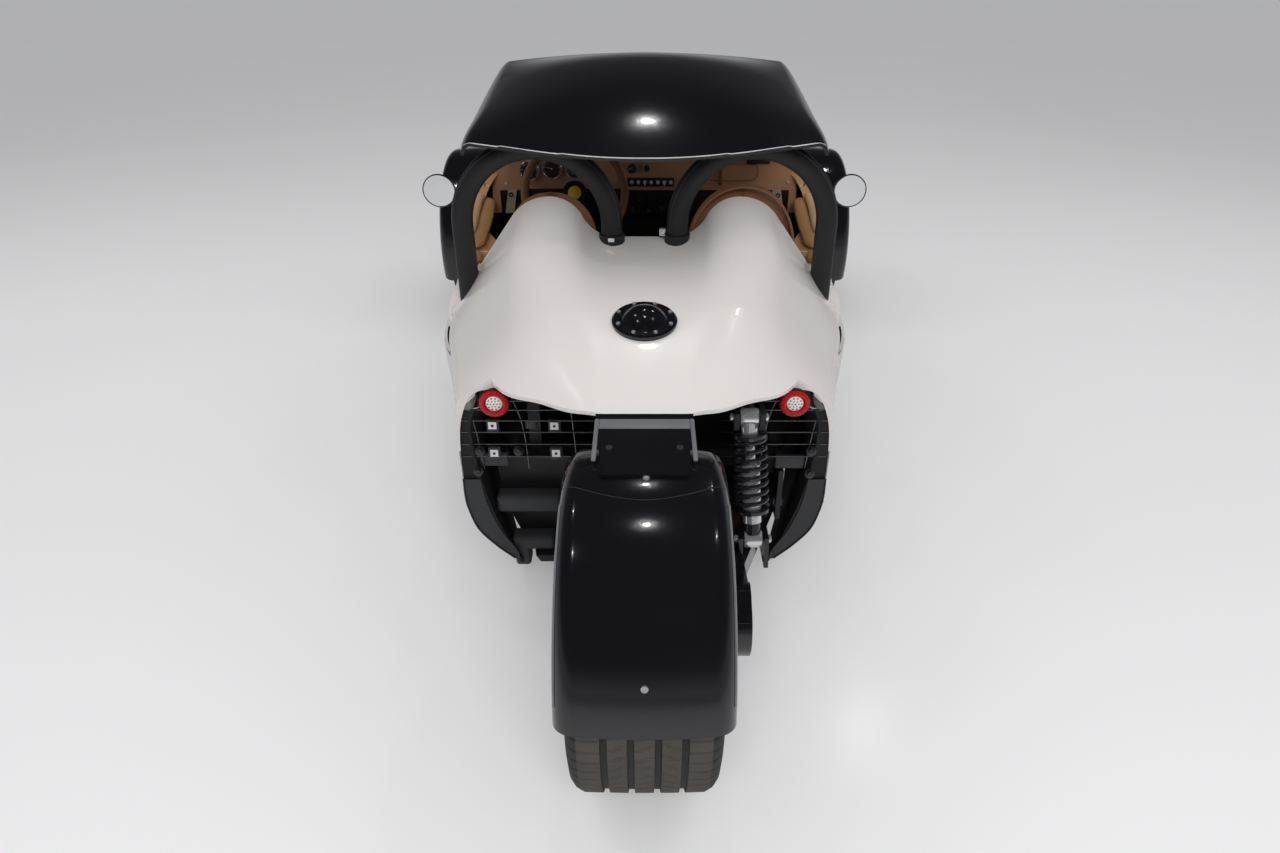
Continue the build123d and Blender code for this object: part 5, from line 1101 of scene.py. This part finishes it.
# Mirrors' faces
def mirror_faces():
    """A flat glass in each mirror, in a thin dark ring."""
    glass_section = [(0, 0.0012), (0.0488, 0.001), (0.0492, -0.001)]
    ring_section = [(0.049, -0.002), (0.049, 0.002), (0.0505, 0.003), (0.0522, 0.001), (0.0522, -0.004)]
    for side, sign in SIDES:
        matrix, body = facing(at(sign * 0.65, 1.3895, 0.823), BACK), f"door_{side}_body"
        turned(f"mirror_glass_{side}", glass_section, matrix, 64, MIRROR, body)
        turned(f"mirror_ring_{side}", ring_section, matrix, 64, BLACK_GLOSS, body, closed=True)


mirror_faces()


# Inner faces of the body's shells, and the deck's edge over the open tail
TAIL_WALL_Y = REAR_AXLE_Y + 0.885
DOOR_EDGE_Z = 0.727
LIP_R = 0.392
LIP_CENTRE = 0.592
LIP_BLEND = 0.16
LIP_SHIFT = 0.0225
LIP_SHIFT_X = 0.228
LIP_SHIFT_HALF = 0.072


def inward(height):
    """A test that keeps faces that look at the car's middle line at a height."""
    def keep(centre, normal):
        to_middle = Vector((0, centre.y, height)) - centre
        return normal.dot(to_middle.normalized()) > 0.2 and abs(normal.y) < 0.8
    return keep


def tail_inside(centre, normal):
    """Keeps the tail's inner faces and those that look back."""
    return centre.y < TAIL_WALL_Y and (inward(0.5)(centre, normal) or normal.y < -0.5)


def cockpit_edge(centre, normal):
    """Keeps the cut top edge that runs along the cockpit."""
    return centre.y > TAIL_WALL_Y and abs(normal.x) < 0.03 and normal.z > 0.3 and centre.z > DOOR_EDGE_Z - 0.002


def tint_node(name, mat, keep):
    """Gives another finish to those faces of a node that a test keeps."""
    tint(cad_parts[name].data, mat, keep)


def deck_skin():
    """The rear deck, its edge over the open tail drawn in a little at both sides."""
    bm = bmesh.new()
    bm.from_mesh(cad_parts["rear_deck"].data)
    bmesh.ops.remove_doubles(bm, verts=bm.verts, dist=WELD)
    skin = surface_of("rear_deck")
    for vert in bm.verts:
        x, ahead = abs(vert.co.x), vert.co.y - REAR_AXLE_Y
        if x > LIP_R * 0.9:
            continue
        past = ahead - (LIP_CENTRE - math.sqrt(LIP_R ** 2 - x ** 2))
        if past > LIP_BLEND:
            continue
        fade = (1 - max(0.0, past) / LIP_BLEND) ** 2
        shift = LIP_SHIFT * math.exp(-(((x - LIP_SHIFT_X) / LIP_SHIFT_HALF) ** 2)) * fade
        here = drop_on(skin, vert.co.x, vert.co.y + 0.001)[0]
        there = drop_on(skin, vert.co.x, vert.co.y + 0.001 + shift)[0]
        vert.co.y += shift
        if here and there:
            vert.co.z += there.z - here.z
    piece = finish_piece(bm, "deck_skin", PAINT, merge=0)
    tint(piece.data, BLACK_MATTE_AND_SHADE, lambda c, n: n.z < 0.1 and (inward(0.3)(c, n) or n.z < -0.5))
    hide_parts("rear_deck")


# The tail's inner faces take the darkened black moulding; its extra darkness is painted shade.
tint_node("side_panels", BLACK_MATTE_AND_SHADE, tail_inside)
tint_node("sills", BLACK_MATTE_AND_SHADE, tail_inside)
deck_skin()
tint_node("nose_shell", BLACK_MATTE_AND_SHADE, inward(0.42))
tint_node("bonnet", BLACK_MATTE_AND_SHADE, lambda c, n: n.z < -0.2)
tint_node("roof_cap", CARPET, lambda c, n: n.z < -0.15)
tint_node("side_panels", PAD_HIDE, cockpit_edge)
for side, sign in SIDES:
    tint_node(f"door_{side}", PAD_HIDE, cockpit_edge)
    lining(f"door_card_{side}", f"door_{side}", lambda c, n, s=sign: n.x * s < -0.35, f"door_{side}_body")
lining("cockpit_lining", "side_panels", lambda c, n: c.y > TAIL_WALL_Y and inward(0.5)(c, n), "chassis")


# Seats: middle across, half of the neck's width and top, each side's own
SEAT_SHAPES = {"left": (0.256, 0.124, 0.88), "right": (0.268, 0.148, 0.943)}
SEAT_INNER = 0.06
SEAT_LOW_Z = 0.285
SEAT_HALF = 0.192
SEAT_NECK_Z = 0.72
SEAT_NECK_BLEND = 0.12
SEAT_FACE = ((0.275, 1.08), (0.33, 1.078), (0.62, 1.052), (0.95, 1.03))
CUSHION_REAR = 1.088
CUSHION_FRONT = 1.535
PIPING_R = 0.0042
PIPING_SETBACKS = (0.02, 0.046)
PIPING_LOW_Z = 0.62


def seat_edge(height, outer, side):
    """How far in or out a seat back reaches at a height, under an arched top."""
    middle_x, neck_half, top = SEAT_SHAPES[side]
    if height < SEAT_NECK_Z:
        share = min(1.0, max(0.0, (SEAT_NECK_Z - height) / SEAT_NECK_BLEND))
        half = neck_half + (SEAT_HALF - neck_half) * share
    else:
        rise = min(1.0, (height - SEAT_NECK_Z) / (top - SEAT_NECK_Z))
        half = neck_half * math.sqrt(max(0.0, 1 - rise ** 2.6))
    return middle_x + (half if outer else -half)


def cushion_grid(columns, rows):
    """A unit grid, as its bmesh and its points with their places across and along it."""
    bm = bmesh.new()
    bmesh.ops.create_grid(bm, x_segments=columns, y_segments=rows, size=0.5)
    return bm, [(vert, vert.co.x + 0.5, vert.co.y + 0.5) for vert in bm.verts]


def crowned(u, v, across, lengthwise):
    """The height of a stuffed panel, from 0 at its edges to 1; higher powers make flatter panels."""
    return (1 - abs(2 * u - 1) ** across) * (1 - abs(2 * v - 1) ** lengthwise)


def padded_seat(bm, name, thickness):
    """Gives a seat's face its thickness and finish."""
    bmesh.ops.solidify(bm, geom=list(bm.faces), thickness=thickness)
    piece = finish_piece(bm, name, SEAT_HIDE, merge=WELD)
    return piece


def seat_back(side, sign):
    """A crowned leather back with upright flutes, piped round its arched top."""
    top = SEAT_SHAPES[side][2]
    bm, places = cushion_grid(48, 56)
    for vert, u, v in places:
        z = SEAT_LOW_Z + (top - SEAT_LOW_Z) * (1 - (1 - v) ** 1.35)
        low, high = seat_edge(z, False, side), seat_edge(z, True, side)
        flutes = 0.0045 * abs(math.sin(u * math.pi * 6)) if 0.12 < v < 0.8 else 0.0
        bolster = 0.012 * abs(2 * u - 1) ** 2
        ahead = along(SEAT_FACE, z) - 0.03 + 0.018 * crowned(u, v, 5, 9) + flutes + bolster
        vert.co = at(sign * (low + (high - low) * u), ahead, z)
    piece = padded_seat(bm, f"seat_back_{side}", 0.042 * sign)
    heights = [PIPING_LOW_Z + (top - PIPING_LOW_Z) * math.sin(i / 30 * math.pi / 2) for i in range(31)]
    rims = []
    for setback in PIPING_SETBACKS:
        inner, outer = (
            [at(sign * seat_edge(z, far, side), along(SEAT_FACE, z) - setback, z) for z in heights]
            for far in (False, True)
        )
        rims.append(inner + outer[-2::-1])
    tube_piece(f"seat_piping_{side}", rims, PIPING_R, RIM_HIDE, "leather", smooth=False, resolution=3)
    return piece


def seat_base(side, sign):
    """A crowned leather cushion with flutes that run ahead, and a rolled front."""
    bm, places = cushion_grid(44, 44)
    for vert, u, v in places:
        x = SEAT_INNER + 0.004 + (0.45 - SEAT_INNER) * u
        flutes = 0.004 * abs(math.sin(u * math.pi * 5)) if 0.1 < v < 0.82 else 0.0
        rolled = 0.05 * max(0.0, v - 0.9) / 0.1
        z = 0.262 + 0.04 * v + 0.014 * crowned(u, v, 6, 8) - 0.014 + flutes - rolled
        vert.co = at(sign * x, CUSHION_REAR + (CUSHION_FRONT - CUSHION_REAR) * v, z)
    return padded_seat(bm, f"seat_cushion_{side}", -0.1 * sign)


backs = [seat_back(side, sign) for side, sign in SIDES]
cushions = [seat_base(side, sign) for side, sign in SIDES]
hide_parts("seat_backs")
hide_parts("seat_bases")


# Pads along the cockpit's edges, as (x, ahead, z)
PAD_LINE = (
    (0.496, 1.1, 0.737), (0.501, 1.2, 0.7375), (0.508, 1.35, 0.74), (0.52, 1.48, 0.745),
    (0.532, 1.56, 0.75),
)
PAD_UPPER = (
    (0.523, 1.18, 0.75), (0.532, 1.28, 0.754), (0.542, 1.38, 0.758), (0.548, 1.47, 0.764),
    (0.55, 1.55, 0.77),
)
PAD_REAR = ((0.478, 0.985, 0.733), (0.484, 1.025, 0.735), (0.49, 1.066, 0.736))


def rolled_pad(name, line, across, height, body, mat):
    """A soft roll along a line: an oval section with closed, rounded ends."""
    bm = bmesh.new()
    rings = []
    last = len(line) - 1
    for i, place in enumerate(line):
        ahead = (line[min(i + 1, last)] - line[max(i - 1, 0)]).normalized()
        side_way = ahead.cross(UP).normalized()
        end = min(i, last - i) / 2.5
        swell = math.sqrt(max(0.05, 1 - max(0.0, 1 - end) ** 2))
        ring = []
        for angle in around(16):
            offset = side_way * (across / 2 * math.cos(angle)) + UP * (height / 2 * math.sin(angle))
            ring.append(bm.verts.new(place + offset * swell))
        rings.append([bm.edges.new(pair) for pair in zip(ring, ring[1:] + ring[:1])])
    for one, two in zip(rings, rings[1:]):
        bmesh.ops.bridge_loops(bm, edges=one + two)
    for ring in (rings[0], rings[-1]):
        bmesh.ops.edgeloop_fill(bm, edges=ring)
    piece = finish_piece(bm, name, mat, body)
    return piece


def edge_pads():
    """Rolled leather pads on the doors, their armrests, and short rolls behind the doors."""
    for side, sign in SIDES:
        body = f"door_{side}_body"
        pad, upper, rear = (
            smooth_line([at(sign * x, ahead, z) for x, ahead, z in line], 5) for line in (PAD_LINE, PAD_UPPER, PAD_REAR)
        )
        piece = rolled_pad(f"door_pad_{side}", pad, 0.052, 0.024, body, PAD_HIDE)
        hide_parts(f"door_trim_{side}")
        rolled_pad(f"door_roll_{side}", upper, 0.034, 0.02, body, PAD_LIGHT)
        rolled_pad(f"rear_roll_{side}", rear, 0.044, 0.02, "chassis", PAD_HIDE)
        arm = bmesh.new()
        block(arm, (sign * 0.4995, 1.3, 0.62), (0.055, 0.29, 0.038), 0.015, 5)
        rest = finish_piece(arm, f"armrest_{side}", PAD_HIDE, body)


edge_pads()


# Steering wheel: boxes of one spoke as (place, size), and the hub's section
HUB = at(-0.23, 1.5, 0.786)
WHEEL_AXIS = Vector((0, -math.cos(COLUMN_TILT), math.sin(COLUMN_TILT)))
RIM_CENTRE_R = 0.165
RIM_HALF = 0.0135
STITCH_R = 0.1512
SPOKE_BOXES = (
    ((0.094, -0.0105, -0.004), (0.118, 0.007, 0.0035)), ((0.094, 0.0105, -0.004), (0.118, 0.007, 0.0035)),
    ((0.05, 0, -0.004), (0.03, 0.027, 0.0035)), ((0.148, 0, -0.004), (0.014, 0.027, 0.0035)),
)
HUB_SECTION = (
    (0, -0.11), (0.0115, -0.11), (0.0115, -0.045), (0.03, -0.044), (0.03, -0.016), (0.04, -0.012), (0.04, 0.002),
    (0.037, 0.006), (0.029, 0.007), (0.028, 0.004), (0, 0.004),
)
HORN_SECTION = ((0, 0.012), (0.012, 0.0112), (0.02, 0.0085), (0.0225, 0.004))


def steering_wheel():
    """A stitched leather rim on three slotted spokes, with a plain horn button."""
    body = "steering_wheel_body"
    matrix = facing(HUB, WHEEL_AXIS, ACROSS)
    ring = [(RIM_CENTRE_R + RIM_HALF * math.cos(a), RIM_HALF * math.sin(a)) for a in around(20)]
    piece = turned("steering_rim", ring, matrix, 96, RIM_HIDE, body, closed=True)
    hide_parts("steering_wheel")
    stitches = bmesh.new()
    for angle in around(110):
        tangent = matrix.to_3x3() @ Vector((-math.sin(angle), math.cos(angle), 0.8))
        rod(stitches, facing(spot(matrix, STITCH_R, angle), tangent), 0.0007, 0.0007, 0.006)
    finish_piece(stitches, "steering_stitches", THREAD, body)
    spokes = bmesh.new()
    for turn in (0, 180, 270):
        spoke = matrix @ Matrix.Rotation(math.radians(turn), 4, "Z")
        for place, size in SPOKE_BOXES:
            solid_box(spokes, spoke @ Matrix.Translation(place), size, 0.0012)
    lathe(spokes, HUB_SECTION, matrix, 48)
    for angle in around(6, 0.5):
        screw(spokes, spot(matrix, 0.0335, angle, 0.0065), WHEEL_AXIS, 0.0026, 0.0022, 12)
    finish_piece(spokes, "steering_spokes", BLACK_SATIN, body)
    turned("horn_button", HORN_SECTION, matrix, 40, BADGE_PLAIN, body)


steering_wheel()


# Dashboard instruments: gauges as (x, z, radius, angle of the needle)
GAUGES = (
    (-0.388, 0.834, 0.034, 215), (-0.311, 0.84, 0.034, 160), (-0.234, 0.84, 0.034, 240), (-0.042, 0.843, 0.019, 200),
)
DASH_FACE = 1.6
SWITCH_X = 0.012
SWITCH_Z = 0.795
SWITCHES = 8


def dash_spot(x, setback, z):
    """A matrix on the dash that faces the driver."""
    return facing(at(x, DASH_FACE - setback, z), BACK, ACROSS)


def gauge(bezels, dials, marks, x, z, radius, needle_angle):
    """A dial with its bezel, marks and needle."""
    matrix = dash_spot(x, 0.002, z)
    bezel = [(radius * 0.86, -0.01), (radius * 0.86, 0.005), (radius * 0.93, 0.008), (radius, 0.004), (radius, -0.01)]
    lathe(bezels, bezel, matrix, 48, closed=True)
    lathe(dials, [(0, 0.001), (radius * 0.87, 0.001), (radius * 0.87, -0.008)], matrix, 48)
    for i in range(25):
        turn = Matrix.Rotation(math.radians(-30 + 240 * i / 24), 4, "Z")
        length, width = (0.0035, 0.001) if i % 4 == 0 else (0.002, 0.0006)
        place = matrix @ turn @ Matrix.Translation((radius * 0.76, 0, 0.0013))
        solid_box(marks, place, (length * radius / 0.034 * 1.6, width, 0.0004))
    turn = Matrix.Rotation(math.radians(needle_angle), 4, "Z")
    solid_box(marks, matrix @ turn @ Matrix.Translation((radius * 0.3, 0, 0.0022)), (radius * 0.75, 0.0011, 0.0006))
    lathe(bezels, [(0, 0.0035), (0.003, 0.003), (0.0036, 0.001)], matrix, 16)


def make_instruments():
    """Gauges, starter, switch plate and the toggles in it."""
    bezels, dials, marks, levers = bmesh.new(), bmesh.new(), bmesh.new(), bmesh.new()
    for x, z, radius, needle in GAUGES:
        gauge(bezels, dials, marks, x, z, radius, needle)
    starter = dash_spot(0.008, 0.001, 0.843)
    lathe(bezels, [(0.009, 0.002), (0.0115, 0.006), (0.0135, 0.004), (0.0135, -0.008)], starter, 32)
    lathe(dials, [(0, 0.0035), (0.0085, 0.003), (0.0095, 0)], starter, 32)
    solid_box(dials, dash_spot(SWITCH_X, 0.0005, SWITCH_Z), (0.176, 0.03, 0.003), 0.001)
    for i in range(SWITCHES):
        base = at(SWITCH_X + (i - (SWITCHES - 1) / 2) * 0.022, DASH_FACE - 0.0025, SWITCH_Z)
        lathe(levers, [(0, 0.004), (0.0035, 0.004), (0.0065, 0.002), (0.0065, -0.002)], facing(base, BACK), 16)
        lever = (0, -1, 0.45 if i % 3 else -0.35)
        lathe(levers, [(0.0016, 0), (0.003, 0.016), (0.0024, 0.018), (0, 0.0185)], facing(base, lever), 12)
    first = finish_piece(bezels, "gauge_bezels", CHROME_WITH_PAINTED_SHINE)
    finish_piece(levers, "toggles", SILVER)
    finish_piece(dials, "gauge_faces", DIAL)
    finish_piece(marks, "gauge_marks", DIAL_MARK)
    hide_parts("instruments")


make_instruments()


# Lower dash panel, glovebox outline, belts and the hoops' small parts, as (x, z) on the dash
GLOVEBOX = (
    (0.186, 0.8), (0.36, 0.7985), (0.377, 0.806), (0.3845, 0.826), (0.38, 0.848), (0.366, 0.857), (0.2, 0.853),
    (0.186, 0.846),
)
PANEL_BOLTS = ((-0.015, 0.74), (-0.043, 0.704), (0.012, 0.6985), (0.061, 0.708), (-0.455, 0.755), (0.455, 0.752))
DASH_STUDS = ((-0.471, 0.792), (0.488, 0.796), (0.255, 0.862), (-0.48, 0.76), (0.48, 0.76))
PANEL_AHEAD = 1.5965
STRAP_ZS = (0.868, 0.84, 0.81, 0.784)
STRAP_T = 0.0022


def blocks_piece(name, blocks, mat):
    """A piece of boxes, each as (place, size, edge radius)."""
    bm = bmesh.new()
    for place, size, bevel in blocks:
        block(bm, place, size, bevel)
    finish_piece(bm, name, mat)


def strap_piece(name, points, width, mat):
    """A piece that is one flat strap through points, its width across the car."""
    bm = bmesh.new()
    ribbon(bm, points, ACROSS * width, STRAP_T)
    finish_piece(bm, name, mat)


def cockpit_trim():
    """The small pieces round the dash."""
    panel = (
        ((0.0, PANEL_AHEAD, 0.729), (0.985, 0.005, 0.08), 0.002),
        ((0.382, PANEL_AHEAD, 0.864), (0.078, 0.005, 0.016), 0.002),
    )
    blocks_piece("lower_dash_panel", panel, BLACK_SATIN)
    bolts = [(at(x, 1.594, z), BACK) for x, z in PANEL_BOLTS]
    screws_piece("lower_dash_bolts", bolts, 0.0085, 0.006, FRAME_GREY)
    studs = [(at(x, 1.5985, z), BACK) for x, z in DASH_STUDS]
    screws_piece("dash_studs", studs, 0.0042, 0.003, SILVER)
    outline = [at(x, 1.5988, z) for x, z in GLOVEBOX]
    tube_piece("glovebox_edge", [outline], 0.0016, RIM_HIDE, "leather", closed=True)
    strap_piece("glovebox_strap", [at(0.256, PANEL_AHEAD, z) for z in STRAP_ZS], 0.012, RIM_HIDE)
    for side, sign in SIDES:
        points = [at(sign * (0.449 + 0.003 * i), 1.59, 0.772 - 0.016 * i) for i in range(6)]
        strap_piece(f"belt_{side}", points, 0.03, WEBBING)
    clip = (
        ((0.048, 0.925, 0.84), (0.018, 0.01, 0.02), 0.003), ((0.056, 0.925, 0.833), (0.022, 0.012, 0.006), 0.002),
    )
    blocks_piece("hoop_clip", clip, CHROME_WITH_PAINTED_SHINE)
    blocks_piece("hoop_tab", [((-0.0885, 0.8885, 0.829), (0.016, 0.003, 0.01), 0.001)], SILVER)


def roof_highlight():
    """A thin pale line along the roof's rear edge, a painted highlight on its lip."""
    skin = surface_of("roof_cap")
    low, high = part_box("roof_cap")
    line = []
    for i in range(-40, 41):
        x = i / 40 * (high.x - 0.006)
        for step in range(60):
            hit, _ = drop_on(skin, x, low.y + 0.0005 + 0.25 * (step / 59) ** 2)
            if hit:
                line.append(hit + Vector((0, -0.0006, -0.0005)))
                break
    # The pale tube is a painted highlight along the roof's lip.
    tube_piece("roof_highlight_line", [line], 0.0013, SILVER, "steel", smooth=False, resolution=2)


cockpit_trim()
roof_highlight()


# Camera, lights and floor
CAMERA_BEHIND = 1.274
CAMERA_Z = 1.55
CAMERA_PITCH = 30.94
FOCAL_PX = 840
PHOTO_W = 1280
SENSOR = 36
MIDLINE_PX = 4.5


def make_camera():
    """The photograph's view: from behind and above, along the car."""
    data = bpy.data.cameras.new("camera")
    data.sensor_width = SENSOR
    data.lens = FOCAL_PX / PHOTO_W * SENSOR
    data.shift_x = -MIDLINE_PX / PHOTO_W
    camera = bpy.data.objects.new("camera", data)
    scene.collection.objects.link(camera)
    camera.location = at(0, -CAMERA_BEHIND, CAMERA_Z)
    camera.rotation_euler = (math.radians(90 - CAMERA_PITCH), 0, 0)
    scene.camera = camera


def area_light(name, place, target, size, power, mirrored):
    """A lamp that looks at a target, and that gloss mirrors or not."""
    data = bpy.data.lights.new(name, "AREA")
    data.shape = "RECTANGLE"
    data.size, data.size_y = size
    data.energy = power
    lamp = bpy.data.objects.new(name, data)
    scene.collection.objects.link(lamp)
    lamp.location = place
    lamp.rotation_euler = (Vector(target) - Vector(place)).to_track_quat("-Z", "Y").to_euler()
    lamp.visible_glossy = mirrored


CEILING = ((0.04, -0.9), (-1.9, -2.0), (2.2, -1.1), (0.03, 1.9), (1.9, 2.3), (-2.3, 0.4))
CEILING_Z = 4.6
FLOOR_LIFT = 0.17


def make_room():
    """An even pale room whose ceiling looks dark in gloss, apart from a pale band round the walls."""
    world = bpy.data.worlds.new("room")
    scene.world = world
    world.use_nodes = True
    tree = world.node_tree
    place = tree.nodes.new("ShaderNodeTexCoord")
    split = tree.nodes.new("ShaderNodeSeparateXYZ")
    tree.links.new(place.outputs["Generated"], split.inputs[0])
    ramp = tree.nodes.new("ShaderNodeValToRGB")
    tree.links.new(split.outputs["Z"], ramp.inputs["Fac"])
    stops = ramp.color_ramp.elements
    stops[0].position, stops[0].color = 0.0, (0.3, 0.31, 0.32, 1)
    stops[1].position, stops[1].color = 0.62, (0.012, 0.012, 0.014, 1)
    for position, tone in ((0.1, 0.2), (0.24, 0.045)):
        stop = stops.new(position)
        stop.color = (tone, tone, tone * 1.04, 1)
    rays = tree.nodes.new("ShaderNodeLightPath")
    mix = tree.nodes.new("ShaderNodeMixRGB")
    mix.inputs["Color1"].default_value = (0.46, 0.465, 0.475, 1)
    tree.links.new(rays.outputs["Is Glossy Ray"], mix.inputs["Fac"])
    tree.links.new(ramp.outputs["Color"], mix.inputs["Color2"])
    tree.links.new(mix.outputs["Color"], tree.nodes["Background"].inputs["Color"])
    tree.nodes["Background"].inputs["Strength"].default_value = 1.0


def make_floor():
    """A pale glossy floor, lifted a little where it is seen directly."""
    bm = bmesh.new()
    bmesh.ops.create_grid(bm, x_segments=1, y_segments=1, size=60)
    mesh = bpy.data.meshes.new("floor")
    bm.to_mesh(mesh)
    bm.free()
    floor = bpy.data.objects.new("floor", mesh)
    scene.collection.objects.link(floor)
    pale = finish_material("pale_floor", (0.74, 0.735, 0.74), 0.2, 0.02, 0.04, 0.6)
    tree = pale.node_tree
    rays = tree.nodes.new("ShaderNodeLightPath")
    lift = arithmetic(tree, "MULTIPLY", rays.outputs["Is Camera Ray"], FLOOR_LIFT)
    shader = tree.nodes["Principled BSDF"]
    shader.inputs["Emission Color"].default_value = (1, 0.995, 1, 1)
    tree.links.new(lift, shader.inputs["Emission Strength"])
    mesh.materials.append(pale)


def make_stage():
    """The floor and room, under soft lamps and small ceiling lamps."""
    make_floor()
    make_room()
    area_light("lamp_behind", (0.3, -4.6, 3.4), (0, -0.9, 0.5), (2.6, 1.6), 95, False)
    for side, sign in SIDES:
        area_light(f"lamp_{side}", (sign * 3.6, 0.6, 3.8), (0, 0, 0.5), (2.0, 4.0), 36, False)
    for number, (x, y) in enumerate(CEILING):
        area_light(f"ceiling_{number}", (x, y, CEILING_Z), (x, y, 0), (0.11, 0.11), 5.0, True)


scene.view_settings.view_transform = "Standard"
make_camera()
make_stage()
